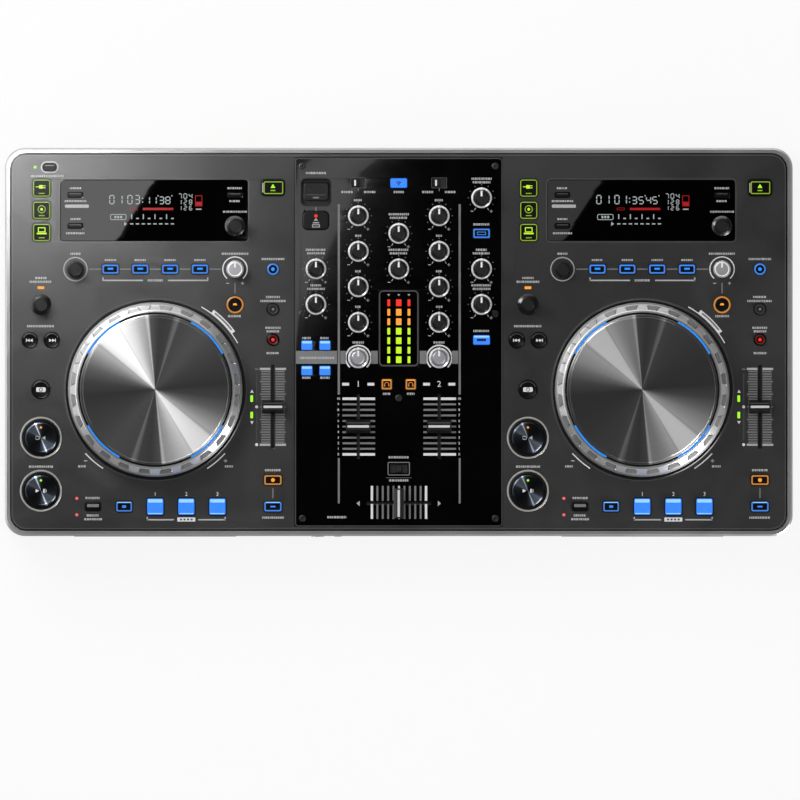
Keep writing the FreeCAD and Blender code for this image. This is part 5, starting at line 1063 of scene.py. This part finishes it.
def make_knobs():
    for name, (x, y) in MIXER_KNOBS.items():
        knob(name, x, y, PLATE, *MIXER_KNOB)
    for channel, x in CHANNELS.items():
        knob("filter_knob_" + channel, x, FILTER_Y, PLATE, *MIXER_KNOB, "knob_grey", "knob_grey",
             slot="knob_silver")
    for side, deck_x in DECKS.items():
        knob("browse_encoder_" + side, deck_x + KNOB_X, LOWER_Y, GLASS, 8.1, 5.7, 5.6, 16.5,
             rim="collar_black", pointer=None)
        knob("beat_encoder_" + side, deck_x - KNOB_X, EFFECT_Y, PANEL, 0.0, 6.9, 5.4, 15.5, pointer=None)
        knob("depth_knob_" + side, deck_x + KNOB_X, EFFECT_Y, PANEL, 0.0, 7.0, 6.0, 15.0, "knob_ring",
             "knob_grey", slot="knob_silver")
        knob("loop_encoder_" + side, deck_x + LOOP_X, LOOP_KNOB_Y, PANEL, 8.3, 5.5, 5.4, 16.0,
             rim="collar_black", pointer=None)


# Faders and switches

def prism(points, length):
    """Solid of one cross-section in Y and Z, run along X and centred."""
    bm = bmesh.new()
    bm.faces.new([bm.verts.new((-length / 2, along, height)) for along, height in points])
    return drawn_out(bm, (length, 0, 0))


def fader(name, x, y, surface, length, width, ridge, turn=0.0):
    """Waisted cap with stepped grips and a white line, on its stem."""
    piece = Piece(name + "_cap", name, "fader_black", name)
    base = surface + 1.2
    half = width / 2
    top = ridge / 2
    front = [(-half, 0), (half, 0), (half, 3.1)]
    for step in range(1, 4):
        along = half + (top + 0.3 - half) * step / 4
        high = 3.1 + 6.4 * step / 4
        front += [(along + 0.25, high - 0.35), (along - 0.1, high)]
    front += [(top + 0.2, 9.7), (top - 0.1, 10.0), (0.9, 9.5), (-0.9, 9.5)]
    rear = [(-along, high) for along, high in front[2:-2][::-1]]
    cap = softened(prism(front + rear, length), 0.22)
    piece.add(cap, "fader_black", x, y, base, turn)
    piece.add(box(length - 2.2, 1.9, 0.5, 0.3, 0.12), "fader_line", x, y, base + 9.3, turn)
    # Painted highlight: a lighter strip along one slope of the cap's top.
    panel = box(length - 1.6, 0.9, 0.3, 0.2)
    bmesh.ops.translate(panel, vec=(0, top + 0.1, 9.75), verts=panel.verts)
    piece.add(panel, "painted_slope_highlight", x, y, base, turn)
    piece.add(box(1.4, 5.0, 6.0, 0.2), "carrier_steel", x, y, base - 5.0, turn)
    piece.done()


def make_faders():
    for side, deck_x in DECKS.items():
        fader("tempo_fader_" + side, deck_x + COLUMN_X, TEMPO_Y, PANEL, 17.0, 10.5, 5.4)
    for channel, x in CHANNELS.items():
        fader("channel_fader_" + channel, x, FADER_Y, PLATE, 19.3, 10.5, 5.4)
    fader("crossfader", 0.0, CROSS_Y, PLATE, 23.7, 8.0, 4.2, 90)


def make_switches():
    switches = [("input_switch_" + channel, x, INPUT_Y, -2.1) for channel, x in CHANNELS.items()]
    for name, x, y, rest in switches + [("curve_switch", 0.0, CURVE_Y, 0.0)]:
        piece = Piece(name + "_nub", name, "fader_black", name)
        piece.add(box(4.6, 5.6, 4.3, 0.3, 0.5), "fader_black", x + rest, y, 78.6)
        for step in (-1.2, 0.0, 1.2):
            piece.add(box(0.5, 4.4, 0.35, 0.1, 0.1), "key_edge", x + rest + step, y, 82.7)
        if name != "curve_switch":
            piece.mark(bar(1.3, 4.6), "pointer_white", x + rest - 0.4, y, 83.08)
        piece.done()


# Jog wheels

DIMPLES = 24
DIMPLE_BAND = (63.4, 67.1)
SHOULDER_FOOT = 97.0
LIGHT_FLOOR = 103.0
LIGHT_REACH = 17


def dimpled(bm, band):
    """Sink evenly spaced, tapered finger dimples into the shoulder."""
    columns = FULL / DIMPLES
    for step in range(DIMPLES):
        middle = columns * (step + 0.5)
        faces = []
        for face in bm.faces:
            spot = face.calc_center_median()
            radius = math.hypot(spot.x, spot.y)
            if not band[0] < radius < band[1] or spot.z < SHOULDER_FOOT:
                continue
            away = (math.atan2(spot.y, spot.x) - middle + math.pi) % FULL - math.pi
            if abs(away) < columns * 0.37:
                faces.append(face)
        for vert in {v for face in faces for v in face.verts}:
            radius = math.hypot(vert.co.x, vert.co.y)
            share = (radius - band[0]) / (band[1] - band[0])
            away = (math.atan2(vert.co.y, vert.co.x) - middle + math.pi) % FULL - math.pi
            turn = middle + away * (0.66 + 0.34 * share)
            vert.co.x, vert.co.y = radius * math.cos(turn), radius * math.sin(turn)
        bmesh.ops.inset_region(bm, faces=faces, thickness=0.45, depth=-1.2, use_even_offset=True)
        yield faces


def make_jogs():
    for side, deck_x in DECKS.items():
        body = "jog_" + side
        ring = Piece(side + "_jog_ring", body, "jog_silver", "jog_ring_" + side)
        profile = [(4.15, 77.4), (9.0, 77.4), (9.0, 101.6), (60.4, 101.6), (66.5, 99.0), (66.5, 81.8),
                   (68.6, 81.8), (69.0, 82.3), (68.6, 88.0), (68.1, 94.0), (67.95, 96.2), (67.6, 97.1),
                   (67.0, 98.0), (65.7, 99.9), (64.3, 102.1), (63.3, 103.6), (62.9, 104.3), (62.3, 104.6),
                   (61.4, 104.6), (61.1, 104.35), (61.1, 103.0), (59.5, 103.0), (59.5, 104.6), (4.15, 104.6)]
        wheel = turned(profile, 288, closed=True)
        floors = set()
        for faces in dimpled(wheel, DIMPLE_BAND):
            floors.update(faces)
        # The dimple floors are darker than the ring: painted shade in the recesses.
        ring.finishes = ["jog_silver_" + side, "dimple_matt_and_painted_shade"]
        for face in wheel.faces:
            face.material_index = 1 if face in floors else 0
        bmesh.ops.translate(wheel, vec=(deck_x, JOG_Y, 0), verts=wheel.verts)
        ring.take(wheel)
        ring.add(arc(59.5, 61.1, 0, 360, 0.1, 96), "collar_black", deck_x, JOG_Y, LIGHT_FLOOR)
        for middle in (45, 135, 225, 315):
            light = arc(59.7, 60.9, middle - LIGHT_REACH, middle + LIGHT_REACH, 0.9)
            ring.add(light, "lit_azure", deck_x, JOG_Y, LIGHT_FLOOR + 0.05)
        ring.done(38)
        plate = Piece(side + "_jog_face", body, "jog_face", "jog_plate_" + side)
        face = [(0, 104.6), (59.0, 104.6), (59.4, 105.0), (59.4, 107.0), (59.2, 107.4), (58.7, 107.6),
                (57.9, 107.6), (57.7, 107.45), (57.4, 107.45), (57.2, 107.6), (30.0, 107.6), (0, 107.6)]
        plate.add(turned(face, 192), "jog_face_" + side, deck_x, JOG_Y)
        plate.done()


# Small fixed pieces

def make_feet():
    feet = Piece("rubber_feet", "console", "foot_rubber", "feet")
    profile = [(0, 0.6), (6.0, 0.6), (6.4, 0.0), (9.2, 0.0), (9.8, 0.4), (10.8, 3.6), (11.0, 5.0), (0, 5.0)]
    for x in (-269.5, 269.5):
        for y in (-119.5, 119.5):
            feet.add(turned(profile, 48), "foot_rubber", x, y)
    feet.done()


REARWARD = Matrix.Rotation(-FULL / 4, 3, "X")
FORWARD = Matrix.Rotation(FULL / 4, 3, "X")
DOWNWARD = Matrix.Rotation(FULL / 2, 3, "X")
REAR = 143.5
FRONT = -153.5
SOCKET_Z = 34.0
FRONT_SOCKET_Z = 30.0
DISC_SLOT_Z = 41.0
MAINS_X = -257.5
COMPUTER_X = -201.5
PHONO_X = (-153.5, -126.5, -99.5, -72.5)
BALANCED_X = (-11.5, 22.5)
PIN_CIRCLE = 3.8


def washer(inner, outer, height):
    """Flat ring with a soft outer edge."""
    return turned([(inner, 0.02), (outer, 0.02), (outer, height * 0.6), (outer - 0.3, height),
                   (inner + 0.2, height), (inner, height * 0.7)], 32, closed=True)


def make_socket_trims():
    """Metal and coloured parts of the sockets in the rear and front walls, and the lips of the disc slots."""
    trims = Piece("socket_trims", "console", "socket_black")
    for x in PHONO_X:
        for step, colour in ((7.0, "pointer_white"), (-7.0, "phono_red")):
            z = SOCKET_Z + step
            trims.add(washer(4.6, 5.4, 0.8), colour, x, REAR, z, tip=REARWARD)
            sleeve = [(4.5, 0.3), (4.7, 0.3), (4.7, 7.8), (4.4, 8.25), (3.5, 8.25), (3.5, 8.02), (4.5, 8.02)]
            trims.add(turned(sleeve, 32, closed=True), "contact_gold", x, REAR, z, tip=REARWARD)
            trims.add(washer(1.3, 3.5, 0.15), colour, x, REAR + 8.0, z, tip=REARWARD)
            # Painted shade: a dark disc in the socket's centre hole.
            trims.add(dot(1.3, 0.06), "painted_gap_shade", x, REAR + 8.02, z, tip=REARWARD)
    trims.add(washer(3.3, 5.6, 0.7), "contact_steel", -45.5, REAR + 2.0, SOCKET_Z, tip=REARWARD)
    trims.add(washer(3.3, 5.2, 0.6), "contact_steel", -64.0, FRONT, FRONT_SOCKET_Z, tip=FORWARD)
    trims.add(washer(1.9, 3.3, 0.5), "contact_steel", -48.0, FRONT, FRONT_SOCKET_Z, tip=FORWARD)
    for x, z in ((-7.0, 0.0), (7.0, 0.0), (0.0, 4.0)):
        trims.add(box(2.3, 4.3, 12.0, 0.2, 0.4), "contact_steel", x + MAINS_X, REAR - 14.9, SOCKET_Z + z,
                  tip=REARWARD)
    trims.add(hoop(9.6, 9.6, 0.5, 0.4, 0.3), "contact_steel", COMPUTER_X, REAR, SOCKET_Z, tip=REARWARD)
    trims.add(box(4.8, 4.8, 7.0, 0.2, 0.3), "print_grey", COMPUTER_X, REAR - 8.4, SOCKET_Z, tip=REARWARD)
    for x in BALANCED_X:
        for turn in (30, 150, 270):
            pin_x = x + PIN_CIRCLE * math.cos(math.radians(turn))
            pin_z = SOCKET_Z + PIN_CIRCLE * math.sin(math.radians(turn))
            pin = [(0, 0), (1.75, 0), (1.75, 7.0), (1.1, 7.9), (0, 8.1)]
            trims.add(turned(pin, 20), "contact_gold", pin_x, REAR - 7.9, pin_z, tip=REARWARD)
        trims.add(washer(9.5, 10.5, 0.5), "contact_steel", x, REAR + 1.5, SOCKET_Z, tip=REARWARD)
        for way in (-1, 1):
            head = turned([(0, 0), (1.9, 0), (1.9, 0.3), (1.3, 0.8), (0, 0.9)], 20)
            trims.add(head, "screw_steel", x + way * 10.0, REAR + 1.5, SOCKET_Z - way * 12.6, tip=REARWARD)
    for deck_x in DECKS.values():
        trims.add(hoop(128.0, 10.0, 1.8, 2.0, 0.35), "socket_black", deck_x, FRONT, DISC_SLOT_Z, tip=FORWARD)
        for z in (38.1, 41.9):
            trims.add(box(123.6, 1.2, 2.0), "foot_rubber", deck_x, FRONT + 2.0, z)
    trims.done()


def make_base():
    """Screws and air slots of the underside; the air slots are dark bars of painted shade."""
    base = Piece("base_details", "console", "screw_steel")
    for x in (-285.0, -140.0, 0.0, 140.0, 285.0):
        for y in (-140.0, 125.0):
            base.add(turned([(0, 0), (3.2, 0), (3.2, 0.3), (2.6, 0.7), (1.2, 0.7), (0.9, 0.3), (0, 0.3)], 28),
                     "screw_steel", x, y, 5.0, tip=DOWNWARD)
    for x in (-150.0, 150.0):
        for row in range(9):
            # Painted shade: dark bars in place of the air slots.
            base.add(bar(46.0, 2.4, 1.1, 0.1), "painted_gap_shade", x, 20.0 + 6.0 * row, 5.03, tip=DOWNWARD)
    base.done()


def make_screws():
    screws = Piece("plate_screws", "console", "screw_steel", "screws")
    profile = [(0, 0), (2.7, 0), (2.7, 0.35), (2.45, 0.75), (1.9, 1.0), (1.45, 0.95), (1.2, 0.5), (0, 0.45)]
    for x, y in MIXER_SCREWS:
        screws.add(turned(profile, 32), "screw_steel", x, y, PLATE - 0.02)
        # Painted shade: dark crossed bars in place of the recess in each screw head.
        for turn in (20, 110):
            screws.add(box(2.1, 0.5, 0.12), "black_print_and_painted_shade", x, y, PLATE + 0.42, turn)
    screws.done()


def make_cover():
    """Flap over the port well, on its barrel."""
    cover = Piece("port_flap", "port_cover", "key_black", "port_cover")
    cover.add(box(19.3, 13.2, 1.5, 2.0, 0.35), "flap_black", -SIDE_X, HINGE_Y - 7.5, 78.5)
    barrel = turned([(0, -9.6), (0.9, -9.6), (0.9, 9.6), (0, 9.6)], 20)
    cover.add(barrel, "step_black", -SIDE_X, HINGE_Y, 79.25, tip=Matrix.Rotation(FULL / 4, 3, "Y"))
    cover.add(box(18.6, 2.2, 1.2, 0.2), "step_black", -SIDE_X, 125.6, 78.55)
    cover.mark(bar(5.0, 1.2, 0.6), "print_grey", -SIDE_X, 114.2, 80.0)
    cover.mark(bar(15.0, 0.5, 0.2), "dim_print_and_painted_highlight", -SIDE_X, 116.4, 80.0)
    cover.done()


# Print on the panel and the plate

def knob_scale(piece, x, y, surface):
    """Eleven ticks round a knob, longer at both ends, with minus and plus."""
    for step in range(11):
        turn = math.radians(-60 + 30 * step)
        end = step in (0, 10)
        middle, length = (10.2, 2.0) if end else (10.4, 0.8)
        piece.mark(bar(length, 0.6), "print_pale" if end else "print_grey", x + middle * math.cos(turn),
                   y + middle * math.sin(turn), surface, math.degrees(turn))
    for side in (-1, 1):
        piece.mark(bar(2.2, 0.6), "print_pale", x + 7.6 * side, y - 10.6, surface)
    piece.mark(bar(0.6, 2.2), "print_pale", x + 7.6, y - 10.6, surface)


def bracket(piece, x0, x1, y, outer):
    """Line with an upturned outer end."""
    piece.mark(bar(x1 - x0, 1.1, 0.3), "print_pale", (x0 + x1) / 2, y)
    piece.mark(bar(1.1, 2.6, 0.3), "print_pale", outer, y + 1.0)


def deck_print(piece, deck_x):
    piece.mark(arc(8.8, 9.65, 0, 360, PRINT, 48), "print_pale", deck_x - KNOB_X, EFFECT_Y)
    piece.mark(arc(9.2, 10.1, -50, 230, PRINT, 48), "print_white", deck_x + KNOB_X, EFFECT_Y)
    # Painted highlight: a lighter line round the display window's rebate edge.
    piece.mark(hoop(150.4, 50.5, 0.7, 3.4), "painted_edge_highlight", deck_x + WINDOW_X, WINDOW_Y)
    # Painted highlight: a thin grey line along the edge of the black step round the jog wheel.
    piece.mark(arc(71.7, 72.4, 0, 360, PRINT, 96), "dim_print_and_painted_highlight", deck_x, JOG_Y)
    for x0, x1 in ((-52.4, -42.4), (-28.3, -18.9), (-4.7, 4.7), (18.9, 28.3), (42.4, 52.0)):
        piece.mark(bar(x1 - x0, 0.9), "print_grey", deck_x + (x0 + x1) / 2, EFFECT_Y)
    bracket(piece, deck_x - 41.8, deck_x - 9.7, 48.7, deck_x - 41.3)
    bracket(piece, deck_x + 10.1, deck_x + 42.0, 48.7, deck_x + 41.5)
    piece.mark(bar(0.9, 8.3), "print_grey", deck_x + KNOB_X, 42.6)
    for x in (-5.9, 5.9):
        piece.mark(bar(2.4, 0.7), "print_pale", deck_x + KNOB_X + x, 46.4)
    piece.mark(bar(0.7, 2.4), "print_pale", deck_x + 69.0, 46.4)
    for row in range(31):
        y = -21.3 - 2.0 * row
        end = row in (0, 30)
        finish = "print_pale" if end else "print_grey"
        size = (8.4, 1.7) if end else (8.2, 1.2) if row % 5 == 0 else (7.2, 1.1)
        for way in (-1, 1):
            piece.mark(bar(*size), finish, deck_x + COLUMN_X + way * (2.0 + size[0] / 2), y)
    rule_x = deck_x + 80.2
    piece.mark(bar(0.8, 24.0), "dim_print_and_painted_highlight", rule_x, -36.4)
    piece.mark(bar(0.8, 24.0), "dim_print_and_painted_highlight", rule_x, -66.2)
    piece.mark(bar(2.6, 0.9), "print_grey", rule_x, -21.5)
    piece.mark(dot(1.2), "print_white", rule_x, TEMPO_Y)
    piece.mark(dot(1.2), "print_white", rule_x, -81.2)
    for y, turn in ((-39.3, 90), (-63.4, -90)):
        piece.mark(wedge(2.6, 2.8), "print_white", deck_x + 76.5, y, PANEL, turn)
    for start, end in ((222.4, 236.5), (303.5, 317.6)):
        piece.mark(arc(74.3, 75.2, start, end), "print_white", deck_x, JOG_Y)
    piece.mark(bar(2.6, 0.8), "print_pale", deck_x - 55.0, -94.0)
    piece.mark(bar(2.6, 0.8), "print_pale", deck_x + 55.6, -94.0)
    piece.mark(bar(0.8, 2.6), "print_pale", deck_x + 55.6, -94.0)
    piece.mark(arc(74.5, 75.3, 29.4, 60.9), "print_white", deck_x, JOG_Y)
    piece.mark(arc(75.3, 78.2, 36.1, 53.8), "print_white", deck_x, JOG_Y)
    piece.mark(arc(76.0, 77.4, 38.0, 52.0), "print_grey", deck_x, JOG_Y, PANEL + PRINT / 2)
    bracket(piece, deck_x - 6.8, deck_x + 14.8, -140.6, deck_x - 6.3)
    bracket(piece, deck_x + 34.0, deck_x + 55.8, -140.6, deck_x + 55.3)
    piece.mark(bar(14.2, 3.2, 0.4), "print_white", deck_x + PADS[1][0], -140.4)
    for step in (-4.2, -1.4, 1.4, 4.2):
        piece.mark(bar(1.6, 1.5), "dim_print_and_painted_highlight", deck_x + PADS[1][0] + step, -140.4, PANEL + PRINT / 2)
    for number, (x, y) in zip("123", PADS):
        piece.mark(figure(number, 4.4), "print_white", deck_x + x, y + 9.8)
    piece.mark(bar(0.9, 8.0), "print_grey", deck_x + COLUMN_X, -119.7)
    deck_captions(piece, deck_x)


def mixer_print(piece):
    # Painted highlight: a thin grey line round the edge of the mixer plate.
    piece.mark(hoop(163.8, 291.2, 0.6, 2.4), "dim_print_and_painted_highlight", 0.0, -0.2, PLATE)
    for x, y in MIXER_KNOBS.values():
        knob_scale(piece, x, y, PLATE)
    for channel, x in CHANNELS.items():
        piece.mark(arc(9.3, 10.5, -48, 228, PRINT, 48), "print_white", x, FILTER_Y, PLATE)
        for way in (-1, 1):
            piece.mark(bar(5.4, 2.2), "print_white", x + way * 10.0, -33.4, PLATE)
        piece.mark(figure(channel, 6.6), "print_white", x, -33.4, PLATE)
        for row in range(11):
            y = -44.9 - 4.4 * row
            end = row in (0, 10)
            finish = "print_white" if end else "print_grey"
            for middle, width in ((-6.9, 11.2), (7.3, 12.0)):
                piece.mark(bar(width, 2.0 if end else 1.5), finish, x + middle, y, PLATE)
            way = -1 if channel == "1" else 1
            piece.mark(figure(str(10 - row), 2.8), "print_white", x + way * 15.8, y, PLATE)
    for x in (-47.4, 48.2):
        piece.mark(bar(1.7, 150.5), "print_grey", x, 33.7, PLATE)
        piece.mark(bar(1.5, 35.8), "print_grey", x, -109.8, PLATE)
    for x0, x1 in ((-81.5, -48.8), (-46.2, -41.9), (-22.0, -16.6), (16.6, 22.0), (42.0, 46.9)):
        piece.mark(bar(x1 - x0, 10.3), "print_grey", (x0 + x1) / 2, -12.15, PLATE)
    for step in range(11):
        x = 0.2 + 4.28 * (step - 5)
        finish = "print_white" if step in (0, 5, 10) else "print_grey"
        for y in (-119.75, -134.0):
            piece.mark(bar(1.9 if step in (0, 10) else 1.5, 11.8), finish, x, y, PLATE)
    for x, turn in ((-31.7, 180), (31.7, 0)):
        piece.mark(wedge(2.4, 4.4), "print_pale", x, CROSS_Y, PLATE, turn)
    piece.mark(hoop(17.6, 10.6, 0.7, 1.2), "print_grey", 0.0, CURVE_Y, PLATE)
    piece.mark(bar(20.0, 0.6), "dim_print_and_painted_highlight", 0.0, -107.4, PLATE)
    for x in CHANNELS.values():
        piece.mark(hoop(12.2, 8.4, 0.5, 0.6), "dim_print_and_painted_highlight", x, INPUT_Y, PLATE)
        piece.mark(bar(0.7, 2.2), "print_grey", x, 120.4, PLATE)
    mixer_captions(piece)


def deck_captions(piece, deck_x):
    """Rows of dashes beside the controls of one deck."""
    for x, y, width in ((-KNOB_X, 69.8, 8.0), (KNOB_X, 69.8, 21.0), (COLUMN_X, 65.6, 18.0),
                        (LOOP_X, 50.6, 9.0), (LOOP_X, 47.6, 18.0), (LOOP_X, 12.5, 22.0),
                        (KNOB_X, 20.4, 11.0), (COLUMN_X, 35.6, 11.0), (COLUMN_X, 32.4, 20.0),
                        (COLUMN_X, 11.2, 12.0), (COLUMN_X, 8.4, 10.0),
                        (COLUMN_X, -8.8, 10.0), (LOOP_X, -98.6, 19.0), (-49.2, -123.4, 12.0),
                        (-49.2, -137.2, 10.0), (-49.2, -140.2, 14.0), (COLUMN_X, -101.4, 12.6),
                        (COLUMN_X, -138.9, 17.0), (-58.0, -98.4, 6.0), (58.6, -98.4, 7.0)):
        caption(piece, deck_x + x, y, width)
    for x, y in EFFECT_KEYS:
        caption(piece, deck_x + x, y + 7.2, 9.0, height=1.5)
    caption(piece, deck_x, 48.7, 12.0)


def mixer_captions(piece):
    for name, (x, y) in MIXER_KNOBS.items():
        row = y + 12.3
        if abs(x) < 40 and name.startswith(("high", "middle", "low")):
            caption(piece, x, row, 5.0, PLATE)
        elif name.startswith("trim"):
            caption(piece, x, row, 7.0, PLATE)
        else:
            caption(piece, x, row, 14.0, PLATE)
            caption(piece, x, row + 2.8, 9.0 if "level" in name else 16.0, PLATE)
    for x in CHANNELS.values():
        caption(piece, x, FILTER_Y + 12.2, 9.0, PLATE)
        for step in (-9.0, 9.0):
            caption(piece, x + step, 118.6, 9.0, PLATE)
    for x, y in PAIR_KEYS:
        caption(piece, x, y + (5.6 if y > FILTER_Y else -5.6), 7.4, PLATE)
    caption(piece, -64.6, FILTER_Y, 27.0, PLATE + PRINT, "print_pale", 1.8)
    piece.mark(bar(0.9, 3.0), "print_grey", -SIDE_X, 105.2, PLATE)
    for x, y, width in ((0.0, 118.6, 8.0), (-SIDE_X, 133.6, 16.0), (0.0, -91.2, 16.0), (-9.5, -41.0, 6.0),
                        (9.5, -41.0, 6.0), (-49.0, -138.6, 15.0), (0.0, -109.5, 15.0)):
        caption(piece, x, y, width, PLATE)
    for y in (93.0, 8.7):
        caption(piece, SIDE_X, y, 13.0, PLATE)


def make_print():
    on_panel = Piece("panel_print", "console", "panel_grey")
    for deck_x in DECKS.values():
        deck_print(on_panel, deck_x)
    on_panel.mark(hoop(13.8, 8.8, 0.9, 4.1), "print_white", *STANDBY)
    caption(on_panel, STANDBY[0] - 2.0, 131.2, 26.0)
    on_panel.done()
    on_plate = Piece("plate_print", "console", "mixer_gloss")
    mixer_print(on_plate)
    on_plate.done()


def dress_solids():
    """Finishes of the pieces whose solids keep their own shape."""
    kept = {"lower_case": "case_paint", "circuit_boards": "board_green", "disc_drives": "drive_dark",
            "sockets": "socket_black", "balanced_outputs": "socket_black", "jog_spindles": "spindle_steel",
            "control_bodies": "carrier_steel"}
    for name, finish in kept.items():
        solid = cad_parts[name]
        if not solid.material_slots:
            solid.data.materials.append(FINISHES[finish])
        for slot in solid.material_slots:
            slot.material = FINISHES[finish]


# Studio: how bright the ceiling is in each direction, in degrees round the console

CEILING = ((-180.0, 0.11), (-112.0, 0.13), (-108.0, 0.22), (-104.0, 0.13), (71.0, 0.12), (73.0, 0.3),
           (75.0, 0.12), (94.0, 0.11), (96.0, 0.8), (98.0, 0.55), (112.0, 0.6), (121.0, 0.95), (139.0, 1.0),
           (157.0, 0.6), (168.0, 0.3), (174.0, 0.13), (180.0, 0.11))
CEILING_LEVEL = 1.15
VIEW_WIDTH = 0.6327
VIEW_PLACE = (0.001, -0.0459, 3.0)


def make_floor():
    bm = bmesh.new()
    bmesh.ops.create_grid(bm, x_segments=1, y_segments=1, size=4.0)
    mesh = bpy.data.meshes.new("floor")
    bm.to_mesh(mesh)
    bm.free()
    floor = bpy.data.objects.new("floor", mesh)
    bpy.context.scene.collection.objects.link(floor)
    material = bpy.data.materials.new("floor_white")
    material.use_nodes = True
    g = Graph(material.node_tree)
    shader = material.node_tree.nodes["Principled BSDF"]
    grain = use_group(g, "grain", scale=40.0, patch_scale=0.8)
    tone = g.blend(grain.outputs["Shade"], linear(0.95), linear(0.97))
    g.tree.links.new(tone, shader.inputs["Base Color"])
    shader.inputs["Roughness"].default_value = 0.8
    shader.inputs["Specular IOR Level"].default_value = 0.1
    path = g.node("ShaderNodeLightPath").outputs
    seen = g.maths("MAXIMUM", path["Is Camera Ray"], g.maths("MAXIMUM", path["Is Transmission Ray"],
                                                             path["Is Glossy Ray"]))
    white = g.node("ShaderNodeEmission", {"Color": (1.0, 1.0, 1.0, 1.0), "Strength": 1.0})
    mix = g.node("ShaderNodeMixShader", {0: g.maths("MULTIPLY", seen, 0.85), 1: shader.outputs[0],
                                         2: white.outputs[0]})
    g.tree.links.new(mix.outputs[0], material.node_tree.nodes["Material Output"].inputs[0])
    mesh.materials.append(material)


def make_world():
    """White backdrop all round, and over it a dark ceiling with bright panels that polished faces mirror."""
    world = bpy.data.worlds.new("room")
    world.use_nodes = True
    bpy.context.scene.world = world
    world.node_tree.nodes.clear()
    g = Graph(world.node_tree)
    place = g.node("ShaderNodeSeparateXYZ", {0: g.node("ShaderNodeTexCoord").outputs["Generated"]})
    turn = g.maths("ARCTAN2", place.outputs[1], place.outputs[0])
    turn = g.scaled(turn, 0.0, 1.0, -math.pi, math.pi)
    panels = level_ramp(g, turn, [(0.5 + degrees / 360, level) for degrees, level in CEILING])
    middle = g.scaled(place.outputs[2], 1.0, 0.0, 0.992, 0.9965)
    ceiling = g.maths("MULTIPLY", g.maths("MULTIPLY", panels, middle), CEILING_LEVEL)
    backdrop = g.scaled(place.outputs[2], 1.0, 0.0, 0.1, 0.45)
    lean = g.maths("SUBTRACT", place.outputs[1], place.outputs[0])
    backdrop = g.maths("MULTIPLY", backdrop, g.scaled(lean, 0.35, 1.15, -1.0, 1.0))
    level = g.maths("ADD", ceiling, backdrop)
    seen = g.node("ShaderNodeBackground", {0: (1.0, 1.0, 1.0, 1.0), 1: level})
    even = g.node("ShaderNodeBackground", {0: (1.0, 1.0, 1.0, 1.0), 1: 0.5})
    white = g.node("ShaderNodeBackground", {0: (1.0, 1.0, 1.0, 1.0), 1: 1.0})
    path = g.node("ShaderNodeLightPath").outputs
    mix = g.node("ShaderNodeMixShader", {0: path["Is Glossy Ray"], 1: even.outputs[0], 2: seen.outputs[0]})
    mix = g.node("ShaderNodeMixShader", {0: path["Is Camera Ray"], 1: mix.outputs[0], 2: white.outputs[0]})
    g.node("ShaderNodeOutputWorld", {0: mix.outputs[0]})


def softbox(name, place, size, power, turn=(0.0, 0.0, 0.0), diffuse=True, glossy=True):
    """Rectangular lamp that hangs over the console, with its face down until it is turned."""
    data = bpy.data.lights.new(name, "AREA")
    data.shape = "RECTANGLE"
    data.size, data.size_y = size
    data.energy = power
    lamp = bpy.data.objects.new(name, data)
    lamp.location = place
    lamp.rotation_euler = [math.radians(angle) for angle in turn]
    lamp.visible_camera = False
    lamp.visible_diffuse = diffuse
    lamp.visible_glossy = glossy
    bpy.context.scene.collection.objects.link(lamp)


def make_studio():
    make_floor()
    make_world()
    softbox("key_light", (-0.75, 0.6, 1.1), (0.9, 0.9), 9.0, (-25, -33, 0), glossy=False)
    softbox("fill_light", (0.6, -0.3, 1.6), (1.2, 1.2), 5.0, (10, 20, 0), glossy=False)
    softbox("low_light", (0.75, -0.75, 0.3), (0.5, 0.3), 16.0, (80, 0, 45), diffuse=False)
    softbox("left_light", (-1.1, 0.1, 0.35), (0.4, 1.2), 6.0, (0, -70, 0), diffuse=False)
    softbox("corner_light", (-0.42, 0.30, 0.48), (0.3, 0.3), 5.0, diffuse=False)
    softbox("rear_light", (0.0, 0.95, 0.35), (1.4, 0.4), 5.0, (-70, 0, 0), diffuse=False)
    softbox("window_light", (-0.2392, 0.1254, 0.28), (0.13, 0.075), 0.045, (0, 0, 57.5), diffuse=False)
    softbox("right_window_light", (0.1327, 0.122, 0.28), (0.1, 0.04), 0.0056, (0, 0, 57.3), diffuse=False)
    softbox("plate_light", (-0.078, 0.09, 0.9), (0.055, 0.19), 0.043, (0, 0, -24), diffuse=False)
    data = bpy.data.cameras.new("camera")
    data.type = "ORTHO"
    data.ortho_scale = VIEW_WIDTH
    camera = bpy.data.objects.new("camera", data)
    camera.location = VIEW_PLACE
    bpy.context.scene.collection.objects.link(camera)
    bpy.context.scene.camera = camera
    bpy.context.scene.view_settings.view_transform = "Standard"


build_finishes()
make_panel()
make_plate()
make_glass()
make_lamps()
for side, deck_x in DECKS.items():
    make_deck_keys(side, deck_x)
    make_transport(side, deck_x)
make_pads()
make_mixer_keys()
make_standby()
make_knobs()
make_faders()
make_switches()
make_jogs()
make_feet()
make_socket_trims()
make_base()
make_screws()
make_cover()
make_print()
dress_solids()
make_studio()
